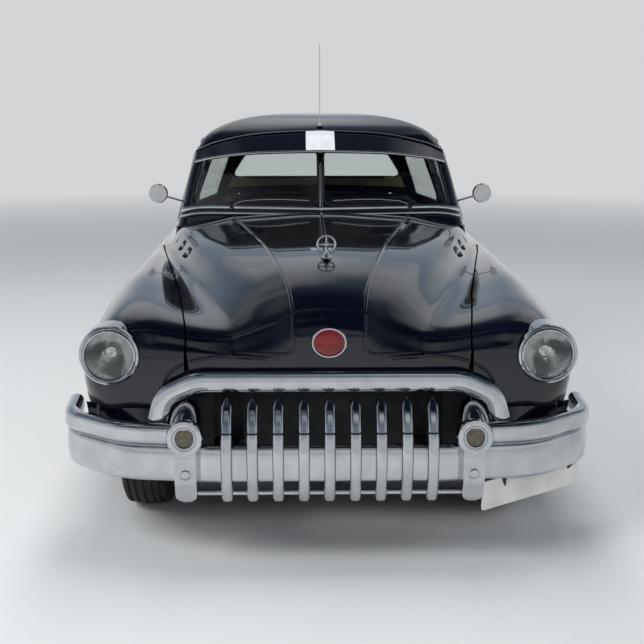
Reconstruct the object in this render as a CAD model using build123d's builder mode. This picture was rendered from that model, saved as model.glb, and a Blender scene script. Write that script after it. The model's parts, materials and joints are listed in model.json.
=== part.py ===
"""A full-size four-door saloon of about 1950, in separate panels with real joints.

Millimetres. +Z up, the car faces -Y, +X is its left (driver's) side. The origin is on
the ground under the middle of the car. Stations are distances behind the foremost
face of the front bumper.
"""

from build123d import *
from math import atan2, cos, hypot, pi, radians, sin, sqrt, tan
import os

os.makedirs("parts", exist_ok=True)

# Driving dimensions of the whole car
length = 5190
wheelbase = 3086
front_overhang = 860
front_track = 1500
rear_track = 1580
tyre_radius = 358
tyre_width = 200
axle_height = tyre_radius

# Panel thicknesses, gaps and clearances
skin = 25
door_thickness = 90
glass_depth = 9
glass_thickness = 5
panel_gap = 6
seat_gap = 0.3
moving_gap = 6
jamb_step = 20
frame_width = 45
hub_clearance = 0.05

# Reaches of the cutting prisms, past the car's sides and roof
wide = 1100
tall = 1800


def at(station):
    """Y of a station."""
    return station - length / 2


front_axle = front_overhang
rear_axle = front_overhang + wheelbase

# Lower body sections: each row is one station, with the corners of the half section from
# the sill up the side, over the crest of the wing, down to the valley beside the bonnet,
# up the bonnet wall to the bead, and the height on the centre line.
# station, sill x, sill z, side x, side z, crest x, crest z, valley x, valley z,
# wall x, wall z, bead x, bead z, top z
body_rows = [
    (172, 250, 600, 300, 690, 285, 790, 205, 782, 165, 820, 133, 860, 868),
    (200, 700, 590, 800, 700, 742, 852, 370, 778, 200, 850, 132, 905, 915),
    (235, 830, 577, 900, 720, 792, 908, 390, 832, 215, 895, 133, 950, 958),
    (300, 880, 520, 940, 730, 802, 938, 400, 860, 235, 930, 139, 988, 996),
    (400, 890, 420, 958, 730, 815, 960, 425, 873, 270, 962, 155, 1022, 1030),
    (650, 880, 340, 975, 720, 835, 982, 490, 892, 345, 1005, 203, 1070, 1080),
    (1050, 870, 320, 984, 690, 845, 1000, 590, 922, 470, 1035, 270, 1095, 1108),
    (1500, 870, 310, 985, 660, 840, 992, 690, 945, 610, 1052, 360, 1105, 1122),
    (2000, 868, 300, 980, 630, 862, 950, 775, 960, 712, 1072, 460, 1112, 1136),
    (2900, 865, 300, 976, 610, 884, 892, 790, 990, 740, 1030, 500, 1070, 1080),
    (3500, 868, 300, 980, 610, 880, 872, 775, 985, 720, 1040, 480, 1095, 1105),
    (3946, 866, 310, 982, 610, 870, 868, 745, 975, 690, 1045, 450, 1108, 1118),
    (4400, 840, 340, 960, 615, 845, 852, 715, 940, 650, 1005, 430, 1052, 1064),
    (4800, 800, 380, 905, 625, 800, 815, 680, 875, 600, 925, 400, 960, 972),
    (5000, 740, 420, 850, 635, 750, 775, 640, 815, 560, 850, 380, 875, 885),
    (5085, 660, 460, 760, 640, 670, 730, 560, 752, 490, 775, 340, 790, 798),
    (5112, 560, 500, 640, 640, 560, 690, 470, 702, 410, 715, 280, 722, 728),
]
body_radii = (30, 220, 110, 60, 50, 40)
inner_sill_drop = 260
front_rows = slice(0, 10)
middle_rows = slice(7, 12)
rear_rows = slice(10, 17)
under_glass_rows = slice(6, 14)

# Glasshouse outlines: each row is one height, with the corners of the half outline from
# the windscreen's centre back round the side to the rear window's centre.
# height, front station, corner x, corner station, side x, side station,
# rear corner x, rear corner station, rear station
glasshouse_rows = [
    (950, 1720, 752, 1850, 795, 2900, 650, 3900, 4110),
    (1130, 1886, 722, 2012, 770, 2900, 610, 3760, 3940),
    (1440, 2200, 645, 2290, 672, 2900, 500, 3420, 3590),
    (1500, 2280, 605, 2380, 632, 2880, 450, 3320, 3480),
    (1550, 2400, 515, 2500, 540, 2870, 380, 3190, 3340),
    (1585, 2580, 380, 2640, 405, 2860, 280, 3040, 3160),
    (1602, 2750, 190, 2780, 200, 2855, 150, 2930, 2990),
]
glasshouse_radii = (55, 900, 260)

# The bonnet's edge on the wing: station, x
bonnet_edge = [(160, 531), (235, 531), (400, 555), (720, 599), (1110, 665), (1700, 766), (1990, 806)]
# Its lower edge on the nose, which leans outwards so that the bonnet swings clear: x, height
nose_edge = [(508, 650), (517, 720), (528, 808), (531, 857)]
bonnet_rear = 1898
cowl_gap = 12
bonnet_side_gap = 7
nose_rear = 260
cowl_rear = 2115
door_front = 1985
pillar_station = 2905
door_bottom = 372
door_corner_radius = 470
boot_front = 4075
boot_half_width = 552
boot_lower_edge = 700

# The mouth of the nose, under the header bar: x, z
mouth = [(612, 250), (612, 590), (575, 668), (500, 700), (400, 712), (0, 716)]

front_arch_radius = 425
rear_arch_radius = 392


def fitted_radii(points, radii):
    """Each corner's radius, limited by the two edges that meet there."""
    fitted = []
    for index, radius in enumerate(radii, start=1):
        before, here, after = points[index - 1], points[index], points[index + 1]
        run = min(hypot(here[0] - before[0], here[1] - before[1]),
                  hypot(after[0] - here[0], after[1] - here[1]))
        turn = abs(atan2(after[1] - here[1], after[0] - here[0])
                   - atan2(here[1] - before[1], here[0] - before[0]))
        turn = min(turn, 2 * pi - turn)
        fitted.append(min(radius, 0.42 * run / tan(turn / 2)))
    return fitted


def body_section(row, inset, drop):
    """One section of the lower body, set in by a thickness, with its sill lowered."""
    (station, sill_x, sill_z, side_x, side_z, crest_x, crest_z, valley_x, valley_z,
     wall_x, wall_z, bead_x, bead_z, top_z) = row
    bead_least = 60
    lean = (side_x - sill_x) / (side_z - sill_z)
    half = [
        (0, sill_z - drop),
        (sill_x - inset - lean * drop, sill_z - drop),
        (side_x - inset, side_z),
        (crest_x - inset, crest_z - inset),
        (valley_x - inset, valley_z - inset),
        (wall_x - inset, wall_z - inset),
        (max(bead_x - inset, bead_least), bead_z - inset),
        (0, top_z - inset),
    ]
    with BuildSketch(Plane.XZ.offset(-at(station))) as section:
        with BuildLine():
            FilletPolyline(*half, radius=fitted_radii(half, body_radii))
            mirror(about=Plane.YZ)
        make_face()
    return section.sketch.faces()[0]


def body_solid(rows, inset=0, drop=0):
    """The lower body's envelope over some rows of its table, set in by a thickness."""
    sections = []
    for row in body_rows[rows]:
        shift = inset if row is body_rows[0] else 0
        shift = -inset if row is body_rows[-1] else shift
        sections.append(body_section((row[0] + shift,) + row[1:], inset, drop))
    with BuildPart() as solid:
        loft(sections=sections, ruled=True)
    return solid.part


def section_at(station):
    """The lower body's row at any station, between two rows of its table."""
    for before, after in zip(body_rows, body_rows[1:]):
        if before[0] <= station <= after[0]:
            share = (station - before[0]) / (after[0] - before[0])
            return [low + share * (high - low) for low, high in zip(before, after)]


def glasshouse_outline(row, inset, rise):
    """One outline of the glasshouse, set in by a thickness."""
    (height, front, corner_x, corner, side_x, side, rear_corner_x, rear_corner, rear) = row
    half = [
        (0, at(front + inset)),
        (corner_x - inset, at(corner + inset)),
        (side_x - inset, at(side)),
        (rear_corner_x - inset, at(rear_corner - inset)),
        (0, at(rear - inset)),
    ]
    with BuildSketch(Plane.XY.offset(height - rise)) as outline:
        with BuildLine():
            FilletPolyline(*half, radius=fitted_radii(half, glasshouse_radii))
            mirror(about=Plane.YZ)
        make_face()
    return outline.sketch.faces()[0]


def glasshouse_solid(inset=0):
    """The glasshouse's envelope, set in by a thickness under the roof too."""
    bend = 1500
    outlines = []
    for row in glasshouse_rows:
        rise = inset if row[0] >= bend else 0
        outlines.append(glasshouse_outline(row, inset, rise))
    with BuildPart() as solid:
        loft(sections=outlines, ruled=True)
    return solid.part


def side_face(points, growth=0, lowest=0):
    """A face in the side view from corners of station and height, its outline moved
    outwards by a growth, and kept above a lowest height."""
    with BuildSketch(Plane.YZ) as sketch:
        with BuildLine():
            Polyline(*[(at(station), z) for station, z in points], close=True)
        make_face()
        if growth:
            offset(amount=growth, kind=Kind.INTERSECTION)
        with Locations((0, lowest + tall / 2)):
            Rectangle(length, tall, mode=Mode.INTERSECT)
    return sketch.sketch


def upright(front, rear, low, high):
    """A rectangle in the side view."""
    return [(front, low), (rear, low), (rear, high), (front, high)]


def plan_face(points, height=0, growth=0):
    """A face in plan from corners of x and station, its outline moved outwards by a growth."""
    with BuildSketch(Plane.XY.offset(height)) as sketch:
        with BuildLine():
            Polyline(*[(x, at(station)) for x, station in points], close=True)
        make_face()
        if growth:
            offset(amount=growth, kind=Kind.INTERSECTION)
    return sketch.sketch


def front_face(points, station, growth=0):
    """A face in the front view from corners of x and height, its outline moved outwards."""
    with BuildSketch(Plane.XZ.offset(-at(station))) as sketch:
        with BuildLine():
            Polyline(*points, close=True)
        make_face()
        if growth:
            offset(amount=growth, kind=Kind.INTERSECTION)
    return sketch.sketch


def across(x, station, height):
    """A plane facing outwards along X."""
    return Plane(origin=(x, at(station), height), x_dir=(0, 1, 0), z_dir=(1, 0, 0))


def write(piece, name):
    """Labels a finished piece and writes it."""
    piece.label = name
    export_step(piece, f"parts/{name}.step")


def write_pair(piece, name):
    """Writes a left-hand piece and its mirror image on the right."""
    write(piece, f"{name}_left")
    write(mirror(piece, about=Plane.YZ), f"{name}_right")


# Envelopes that the panels are cut from
front_outer = body_solid(front_rows)
front_inner = body_solid(front_rows, skin, inner_sill_drop)
middle_outer = body_solid(middle_rows)
middle_inner = body_solid(middle_rows, skin, inner_sill_drop)
middle_core = body_solid(middle_rows, door_thickness, inner_sill_drop)
rear_outer = body_solid(rear_rows)
rear_inner = body_solid(rear_rows, skin, inner_sill_drop)
under_glass = body_solid(under_glass_rows)
glasshouse_outer = glasshouse_solid()
glasshouse_inner = glasshouse_solid(skin)
glass_outer = glasshouse_solid(glass_depth)
glass_inner = glasshouse_solid(glass_depth + glass_thickness)

# Side outlines of the two doors on a side: station, height
windscreen_foot = (2082, 1133)
rail_front = (2352, 1446)
rail_height = 1468
front_door_side = [
    (door_front, door_bottom), (door_front, 1000), windscreen_foot, rail_front,
    (2420, rail_height), (pillar_station - panel_gap / 2, rail_height),
    (pillar_station - panel_gap / 2, door_bottom),
]


def arc_station(z):
    """Station of the rear door's lower corner, concentric with the rear wheel."""
    return rear_axle - sqrt(door_corner_radius ** 2 - (z - axle_height) ** 2)


corner_heights = (780, 700, 600, 490, door_bottom)
rear_door_side = [
    (pillar_station + panel_gap / 2, door_bottom), (pillar_station + panel_gap / 2, rail_height),
    (3340, rail_height), (3480, 1380), (3610, 1180), (3680, 990),
] + [(arc_station(z), z) for z in corner_heights]


door_sides = {"front": front_door_side, "rear": rear_door_side}

# Bonnet, wings and scuttle
edge_gap = bonnet_side_gap / 2
edge_plan = [(x, station) for station, x in bonnet_edge]

with BuildPart() as front_shell:
    add(front_outer)
    add(front_inner, mode=Mode.SUBTRACT)
    extrude(front_face(mouth + [(-x, z) for x, z in reversed(mouth[:-1])], 100),
            amount=-400, mode=Mode.SUBTRACT)

with BuildPart() as bonnet:
    add(front_shell.part)
    inner_edge = [(x - edge_gap, station) for x, station in edge_plan if station < bonnet_rear]
    slope = (edge_plan[-1][0] - edge_plan[-2][0]) / (edge_plan[-1][1] - edge_plan[-2][1])
    corner_x = edge_plan[-2][0] + slope * (bonnet_rear - edge_plan[-2][1]) - edge_gap
    inner_edge.append((corner_x, bonnet_rear))
    outline = [(0, inner_edge[0][1])] + inner_edge + [(0, bonnet_rear)]
    extrude(plan_face([(-x, station) for x, station in reversed(outline)] + outline[1:-1], 650),
            amount=700, mode=Mode.INTERSECT)
    for sign in (-1, 1):
        side = [(sign * (x - edge_gap), z) for x, z in nose_edge]
        side += [(sign * wide, nose_edge[-1][1]), (sign * wide, nose_edge[0][1])]
        extrude(front_face(side, 0), amount=-nose_rear, mode=Mode.SUBTRACT)
write(bonnet.part, "bonnet")

headlamp_x = 809
headlamp_z = 793
headlamp_radius = 112
headlamp_front = 176
headlamp_length = 150
lamp_clearance = 0.5

with BuildPart() as wing:
    add(front_shell.part)
    outer_edge = [(x + edge_gap, station) for x, station in edge_plan if station < door_front]
    outer_edge.append((edge_plan[-1][0] + edge_gap, door_front - panel_gap))
    outline = outer_edge + [(wide, door_front - panel_gap), (wide, outer_edge[0][1])]
    extrude(plan_face(outline), amount=tall, mode=Mode.INTERSECT)
    under = [(x + edge_gap, z) for x, z in nose_edge]
    under += [(0, nose_edge[-1][1]), (0, nose_edge[0][1])]
    extrude(front_face(under, 0), amount=-nose_rear, mode=Mode.SUBTRACT)
    with BuildSketch(Plane.YZ.offset(480)):
        with Locations((at(front_axle), axle_height)):
            Circle(front_arch_radius)
    extrude(amount=wide, mode=Mode.SUBTRACT)
    with BuildSketch(Plane.XZ.offset(-at(100))):
        with Locations((headlamp_x, headlamp_z)):
            Circle(headlamp_radius + lamp_clearance)
    extrude(amount=-(headlamp_front + headlamp_length - 100 + 1), mode=Mode.SUBTRACT)
write_pair(wing.part, "front_wing")

with BuildPart() as scuttle:
    add(front_outer)
    add(front_inner, mode=Mode.SUBTRACT)
    add(glasshouse_inner, mode=Mode.SUBTRACT)
    cowl_front = bonnet_rear + cowl_gap
    x_front = edge_plan[-2][0] + slope * (cowl_front - edge_plan[-2][1]) - edge_gap
    x_rear = edge_plan[-1][0] - edge_gap
    half = [(x_front, cowl_front), (x_rear, door_front - panel_gap / 2), (wide, door_front),
            (wide, cowl_rear)]
    outline = half + [(-x, station) for x, station in reversed(half)]
    extrude(plan_face(outline, 925), amount=tall, mode=Mode.INTERSECT)
    extrude(side_face(front_door_side, panel_gap), amount=wide, both=True, mode=Mode.SUBTRACT)
write(scuttle.part, "scuttle")

# Doors: an outer panel with its window frame, and a thick inner box inside the jamb step
window_foot = 1068
vent_bar = [(2262, 1050), (2276, 1050), (2322, 1375), (2308, 1375)]

belt_line = 985
door_inner_x = 702
glass_gap = 0.5


with BuildPart() as door_skins:
    add(middle_outer)
    add(middle_inner, mode=Mode.SUBTRACT)
    add(glasshouse_inner, mode=Mode.SUBTRACT)
with BuildPart() as door_boxes:
    add(middle_inner)
    add(middle_core, mode=Mode.SUBTRACT)
    add(glasshouse_inner, mode=Mode.SUBTRACT)
with BuildPart() as window_frames:
    add(glasshouse_outer)
    add(glasshouse_inner, mode=Mode.SUBTRACT)
with BuildPart() as glass_layer:
    add(glass_outer)
    add(glass_inner, mode=Mode.SUBTRACT)

with BuildPart() as vent_post:
    add(window_frames.part)
    extrude(side_face(vent_bar), amount=wide, mode=Mode.INTERSECT)

# Each door turns about an upright line on the outer skin at its front edge: x, station
door_axes = {"front": (980, door_front), "rear": (976, pillar_station + panel_gap / 2)}
door_edge_heights = (door_bottom, 490, 600, 700, 780, 892, 990, 1070, 1180, 1290, 1380, rail_height)


def half_width(solid, station, z):
    """Half the width of a solid at a station and height, found by halving the reach."""
    inside, outside = 0, wide
    for _ in range(12):
        middle = (inside + outside) / 2
        if solid.is_inside((middle, at(station), z)):
            inside = middle
        else:
            outside = middle
    return inside


def far_edge(points, z):
    """Station of a side outline's rear edge at a height."""
    crossings = []
    for (start, low), (end, high) in zip(points, points[1:] + points[:1]):
        if low != high and min(low, high) <= z <= max(low, high):
            crossings.append(start + (z - low) / (high - low) * (end - start))
    return max(crossings)


def swept_space(side, axis_x, axis_station):
    """All that lies no farther from a door's hinge line than its far outer edge."""
    profile = []
    for z in door_edge_heights:
        station = far_edge(side, z)
        outer_x = max(half_width(solid, station, z) for solid in (body_core, house_core))
        profile.append((axis_x + hypot(station - axis_station, axis_x - outer_x), z))
    with BuildPart() as space:
        with BuildSketch(Plane.XZ.offset(-at(axis_station))):
            with BuildLine():
                Polyline((axis_x, door_bottom), *profile, (axis_x, rail_height), close=True)
            make_face()
        revolve(axis=Axis((axis_x, at(axis_station), 0), (0, 0, 1)))
    return space.part


body_core = middle_outer.solid()
house_core = glasshouse_outer.solid()

for name, side in door_sides.items():
    with BuildPart() as upper:
        add(window_frames.part)
        extrude(side_face(side, 0, belt_line), amount=wide, mode=Mode.INTERSECT)
    with BuildPart() as box:
        add(door_boxes.part)
        extrude(side_face(side, -jamb_step).moved(Location((door_inner_x, 0, 0))), amount=wide,
                mode=Mode.INTERSECT)
    with BuildPart() as door:
        add(door_skins.part)
        extrude(side_face(side), amount=wide, mode=Mode.INTERSECT)
        add(upper.part)
        add(box.part)
        extrude(side_face(side, -frame_width, window_foot), amount=wide, mode=Mode.SUBTRACT)
        if name == "front":
            add(vent_post.part)
        add(swept_space(side, *door_axes[name]), mode=Mode.INTERSECT)
    write_pair(door.part, f"{name}_door")
    with BuildPart() as glass:
        add(glass_layer.part)
        extrude(side_face(side, -frame_width - glass_gap, window_foot + glass_gap), amount=wide,
                mode=Mode.INTERSECT)
        if name == "front":
            extrude(side_face(vent_bar, glass_gap), amount=wide, mode=Mode.SUBTRACT)
    write_pair(glass.part, f"{name}_door_glass")

# Roof with its screen openings and rear pillars
screen_left = [(12, 1166), (668, 1152), (612, 1418), (12, 1432)]
rear_window = [(-560, 1165), (560, 1165), (490, 1290), (400, 1400), (-400, 1400), (-490, 1290)]
screen_end = 2400
rear_window_start = 3380


def mirrored(points):
    """Corners of an outline mirrored across the middle of the car."""
    return [(-x, z) for x, z in points]


with BuildPart() as roof:
    add(window_frames.part)
    add(under_glass.moved(Location((0, 0, seat_gap))), mode=Mode.SUBTRACT)
    for side in door_sides.values():
        extrude(side_face(side, panel_gap), amount=wide, both=True, mode=Mode.SUBTRACT)
    for points in (screen_left, mirrored(screen_left)):
        extrude(front_face(points, 1700), amount=1700 - screen_end, mode=Mode.SUBTRACT)
    extrude(front_face(rear_window, rear_window_start), amount=rear_window_start - length,
            mode=Mode.SUBTRACT)
write(roof.part, "roof")


def pane(face_points, start, end):
    """A pane of the glasshouse behind an outline in the front view, clear of its edges."""
    with BuildPart() as glass:
        add(glass_layer.part)
        extrude(front_face(face_points, start, -glass_gap), amount=start - end, mode=Mode.INTERSECT)
    return glass.part


with BuildPart() as windscreen:
    add(pane(screen_left, 1700, screen_end))
    add(pane(mirrored(screen_left), 1700, screen_end))
write(windscreen.part, "windscreen_glass")
back_glass = pane(rear_window, rear_window_start, length)
write(back_glass, "rear_window_glass")

# Rear wings and boot lid
sill_rear = 3482
tail_lamp_x = 690
tail_lamp_z = 640
tail_lamp_radius = 45
tail_lamp_front = 5056
tail_lamp_rear = 5124
boot_plan = [(boot_half_width - 25, boot_front), (boot_half_width, 4300), (boot_half_width, 5200)]
boot_hinge_z = 1103
hinge_bars = (-330, 330)
hinge_span = 60
hinge_bar_length = 90
hinge_bar_radius = 6
ear_radius = 11
hinge_root_depth = 10
hinge_root_half = 18
ear_width = 8
with BuildPart() as rear_shell:
    add(rear_outer)
    add(rear_inner, mode=Mode.SUBTRACT)
    add(glasshouse_inner, mode=Mode.SUBTRACT)
with BuildPart() as boot_lid:
    add(rear_shell.part)
    outline = boot_plan + [(-x, station) for x, station in reversed(boot_plan)]
    extrude(plan_face(outline, boot_lower_edge), amount=tall, mode=Mode.INTERSECT)
    for x in hinge_bars:
        for ear in (x - hinge_span / 2, x + hinge_span / 2):
            with BuildSketch(across(ear - ear_width / 2 - moving_gap, boot_front, boot_hinge_z)):
                Circle(ear_radius + moving_gap)
            extrude(amount=ear_width + 2 * moving_gap, mode=Mode.SUBTRACT)
        with BuildSketch(across(x - hinge_bar_length / 2, boot_front, boot_hinge_z)):
            Circle(hinge_bar_radius)
        extrude(amount=hinge_bar_length)
        root = side_face(upright(boot_front, boot_front + hinge_root_depth, boot_hinge_z - skin, boot_hinge_z))
        extrude(root.moved(Location((x, 0, 0))), amount=hinge_root_half, both=True)
write(boot_lid.part, "boot_lid")

with BuildPart() as rear_body:
    add(rear_shell.part)
    extrude(plan_face(outline, boot_lower_edge - panel_gap, panel_gap), amount=tall, mode=Mode.SUBTRACT)
    extrude(side_face(rear_door_side, panel_gap), amount=wide, both=True, mode=Mode.SUBTRACT)
    with BuildSketch(Plane.YZ):
        with Locations((at(rear_axle), axle_height)):
            Circle(rear_arch_radius)
    extrude(amount=wide, both=True, mode=Mode.SUBTRACT)
    extrude(side_face([(0, -tall), (sill_rear, -tall), (sill_rear, 2 * tall), (0, 2 * tall)]),
            amount=wide, both=True, mode=Mode.SUBTRACT)
    with BuildSketch(Plane.XZ.offset(-at(length))):
        with Locations((-tail_lamp_x, tail_lamp_z), (tail_lamp_x, tail_lamp_z)):
            Circle(tail_lamp_radius + lamp_clearance)
    extrude(amount=length - tail_lamp_front + panel_gap, mode=Mode.SUBTRACT)
    for x in hinge_bars:
        for ear in (x - hinge_span / 2, x + hinge_span / 2):
            with BuildSketch(across(ear - ear_width / 2, boot_front, boot_hinge_z)):
                Circle(ear_radius)
            extrude(amount=ear_width)
            stem = side_face(upright(boot_front - ear_radius - 12, boot_front, boot_hinge_z - ear_radius,
                                     boot_hinge_z))
            extrude(stem.moved(Location((ear - ear_width / 2, 0, 0))), amount=ear_width)
        with BuildSketch(across(x - hinge_span, boot_front, boot_hinge_z)):
            Circle(hinge_bar_radius + hub_clearance)
        extrude(amount=2 * hinge_span, mode=Mode.SUBTRACT)
write(rear_body.part, "rear_body")

# Sills with the hinge pillars and centre pillars that stand on them
sill_height = door_bottom - panel_gap
pillar_width = 84
pillar_depth = 45
pillar_inset = door_thickness + moving_gap
pillar_foot = 305
side_rounding = 14
crest_rounding = 8
hinge_pillar_front = 1990
hinge_pillar_rear = 2062
post_foot = 958
post_depth = 30
head_height = rail_height + panel_gap
head_rise = 14
leaf_inner = 800
leaf_outer = 885
leaf_reach = 4
hinge_leaves = ((470, 530), (700, 750))


def pillar_outline(station):
    """A pillar's outline in the front view, clear of the inside of the doors."""
    (_, sill_x, sill_z, side_x, side_z, crest_x, crest_z, valley_x, valley_z) = section_at(station)[:9]
    side = side_x - pillar_inset
    sill_top_x = side - (side_x - sill_x) * (side_z - sill_height) / (side_z - sill_z)
    outer = [
        (sill_top_x + 25, pillar_foot),
        (sill_top_x + 25, sill_height),
        (sill_top_x, sill_height),
        (side - side_rounding, side_z),
        (crest_x - pillar_inset - crest_rounding, crest_z - pillar_inset - crest_rounding),
        (door_inner_x - moving_gap, valley_z - pillar_inset),
    ]
    inner = [
        (door_inner_x - moving_gap - pillar_depth, valley_z - pillar_inset - pillar_depth / 2),
        (crest_x - pillar_inset - pillar_depth, crest_z - pillar_inset - pillar_depth / 2),
        (side - pillar_depth, side_z),
        (sill_top_x - pillar_depth, pillar_foot),
    ]
    return outer, inner


with BuildPart() as post_layer:
    add(glasshouse_solid(skin + moving_gap))
    add(glasshouse_solid(skin + moving_gap + post_depth), mode=Mode.SUBTRACT)
with BuildPart() as head_layer:
    add(glasshouse_solid(skin + seat_gap))
    add(glasshouse_solid(skin + moving_gap + post_depth), mode=Mode.SUBTRACT)

centre_front = pillar_station - pillar_width / 2
centre_rear = pillar_station + pillar_width / 2
with BuildPart() as post:
    add(post_layer.part)
    extrude(side_face(upright(centre_front, centre_rear, post_foot, head_height)), amount=wide,
            mode=Mode.INTERSECT)
with BuildPart() as post_head:
    add(head_layer.part)
    extrude(side_face(upright(centre_front, centre_rear, head_height - 1, head_height + head_rise)),
            amount=wide, mode=Mode.INTERSECT)
with BuildPart() as side_frame:
    add(middle_outer)
    add(middle_core, mode=Mode.SUBTRACT)
    extrude(side_face(upright(door_front - panel_gap + seat_gap, sill_rear - panel_gap, 0, sill_height)),
            amount=wide, mode=Mode.INTERSECT)
    outer, inner = pillar_outline(hinge_pillar_front)
    extrude(front_face(outer + inner, hinge_pillar_front), amount=hinge_pillar_front - hinge_pillar_rear)
    outer, inner = pillar_outline(pillar_station)
    shoulder = [(door_inner_x - moving_gap, post_foot), (post_foot - 213, post_foot),
                (post_foot - 213, 1000), (door_inner_x - moving_gap - pillar_depth, 1000)]
    extrude(front_face(outer + shoulder + inner, centre_front), amount=-pillar_width)
    add(post.part)
    add(post_head.part)
    for edge in (door_front, pillar_station + panel_gap / 2):
        for low, high in hinge_leaves:
            leaf = side_face(upright(edge - leaf_reach, edge + jamb_step - seat_gap, low, high))
            extrude(leaf.moved(Location((leaf_inner, 0, 0))), amount=leaf_outer - leaf_inner)
write_pair(side_frame.part, "side_frame")

# Floor with its tunnel, firewall, rear bulkhead and wheelhouse walls
floor_bottom = 310
sheet = 15
rear_floor_bottom = 545
riser_station = 3505
boot_floor_rear = 5050
floor_front = 1930
front_floor_half = 748
wheelhouse_x = 555
wheelhouse_bottom = 440
wheelhouse_top = 880
tunnel_radius = 92
bulkhead_station = 3965
shelf_z = 1010
shelf_rear = 4060
firewall_margin = 180

with BuildPart() as floor:
    front_plate = [(floor_front, floor_bottom), (riser_station + sheet, floor_bottom),
                   (riser_station + sheet, floor_bottom + sheet), (floor_front, floor_bottom + sheet)]
    extrude(side_face(front_plate), amount=front_floor_half, both=True)
    rear_plate = [(riser_station, floor_bottom), (riser_station + sheet, floor_bottom),
                  (riser_station + sheet, rear_floor_bottom), (boot_floor_rear, rear_floor_bottom),
                  (boot_floor_rear, rear_floor_bottom + sheet), (riser_station, rear_floor_bottom + sheet)]
    extrude(side_face(rear_plate), amount=wheelhouse_x, both=True)
    bulkhead = [(bulkhead_station, rear_floor_bottom), (bulkhead_station + sheet, rear_floor_bottom),
                (bulkhead_station + sheet, shelf_z), (shelf_rear, shelf_z), (shelf_rear, shelf_z + sheet),
                (bulkhead_station, shelf_z + sheet)]
    extrude(side_face(bulkhead), amount=wheelhouse_x - 10, both=True)
    walls = side_face(upright(riser_station + sheet, 4400, wheelhouse_bottom, wheelhouse_top))
    extrude(walls.moved(Location((wheelhouse_x - 1, 0, 0))), amount=sheet)
    extrude(walls.moved(Location((1 - wheelhouse_x, 0, 0))), amount=-sheet)
    row = section_at(floor_front)
    crown = (row[13] - row[12]) / row[11]
    bead_foot = row[11] - firewall_margin
    half = [(front_floor_half - 20, floor_bottom), (row[7] - skin - 6, row[8] - skin - 6),
            (row[9] - skin - 6, row[10] - skin - 6), (row[11] - skin - 6, row[12] - skin - 6),
            (bead_foot, row[13] - crown * bead_foot - skin - seat_gap),
            (0, row[13] - skin - seat_gap)]
    extrude(front_face(half + mirrored(reversed(half[:-1])), floor_front), amount=-sheet)
    with BuildSketch(Plane.XZ.offset(-at(floor_front))):
        with Locations((0, floor_bottom)):
            Circle(tunnel_radius)
    extrude(amount=floor_front - riser_station - sheet, mode=Mode.SUBTRACT)
    with BuildSketch(Plane.XZ.offset(-at(floor_front))):
        with Locations((0, floor_bottom)):
            Circle(tunnel_radius + 10)
            Circle(tunnel_radius, mode=Mode.SUBTRACT)
        with Locations((0, floor_bottom + tall / 2)):
            Rectangle(length, tall, mode=Mode.INTERSECT)
    extrude(amount=floor_front - riser_station)
write(floor.part, "floor")

# Chassis frame: two rails with their kick-up over the rear axle, and cross members
rail_x = 345
rail_width = 70
rail_front = 200
rail_bottom = 225
rail_top = floor_bottom - seat_gap
horn_bottom = 310
horn_top = 400
rail_side = [
    (rail_front, horn_top), (1350, horn_top), (1650, rail_top), (riser_station + sheet + 5, rail_top),
    (3700, 540), (4350, 540), (4700, 500), (5060, 500), (5060, 430), (4700, 430), (4350, 455),
    (3725, 455), (3565, rail_bottom), (1620, rail_bottom), (1300, horn_bottom), (rail_front, horn_bottom),
]
rail_middle = rail_x + rail_width / 2
tow_hole_radius = 6.5
tow_stations = (300, 4790, 4960)
engine_front = 920
engine_rear = 1860
engine_half_width = 190
engine_bottom = 330
engine_top = 950
mount_station = 1200
# front, rear, bottom, top
cross_members = [
    (420, 470, horn_bottom, horn_top),
    (mount_station - 25, mount_station + 25, horn_bottom, engine_bottom - seat_gap),
    (2280, 2340, 262, rail_top),
    (3280, 3340, 262, rail_top),
    (4480, 4540, 455, 525),
]
with BuildPart() as chassis:
    rail = side_face(rail_side)
    extrude(rail.moved(Location((rail_x, 0, 0))), amount=rail_width)
    extrude(rail.moved(Location((-rail_x, 0, 0))), amount=-rail_width)
    for front, rear, low, high in cross_members:
        extrude(side_face(upright(front, rear, low, high)), amount=rail_x + 1, both=True)
    with BuildSketch() as tow_holes:
        for x in (-rail_middle, rail_middle):
            with Locations(*[(x, at(station)) for station in tow_stations]):
                Circle(tow_hole_radius)
    extrude(amount=tall, mode=Mode.SUBTRACT)
write(chassis.part, "chassis_frame")

with BuildPart() as engine:
    extrude(side_face(upright(engine_front, engine_rear, engine_bottom, engine_top)),
            amount=engine_half_width, both=True)
    chamfer(engine.edges().filter_by(Axis.Y), length=60)
write(engine.part, "engine_block")

# Engine bay: radiator with baffles, and the aprons between engine and wheels
apron_x = 440
apron_top = 830
radiator_front = 400
radiator_rear = 455
radiator_half_width = 330
apron_notch = (730, 990, 520)
with BuildPart() as engine_bay:
    extrude(side_face(upright(radiator_front, radiator_rear + 5, horn_top + seat_gap, 865)),
            amount=radiator_half_width, both=True)
    extrude(side_face(upright(radiator_rear, radiator_rear + sheet, horn_top + seat_gap, 760)),
            amount=apron_x + 10, both=True)
    apron_side = [(radiator_rear, horn_top + 20), (apron_notch[0], horn_top + 20),
                  (apron_notch[0], apron_notch[2]), (apron_notch[1], apron_notch[2]),
                  (apron_notch[1], horn_top + 20), (floor_front - 5, horn_top + 20),
                  (floor_front - 5, apron_top), (radiator_rear, apron_top)]
    apron = side_face(apron_side)
    extrude(apron.moved(Location((apron_x, 0, 0))), amount=sheet - 3)
    extrude(apron.moved(Location((-apron_x, 0, 0))), amount=3 - sheet)
write(engine_bay.part, "engine_bay")

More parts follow.
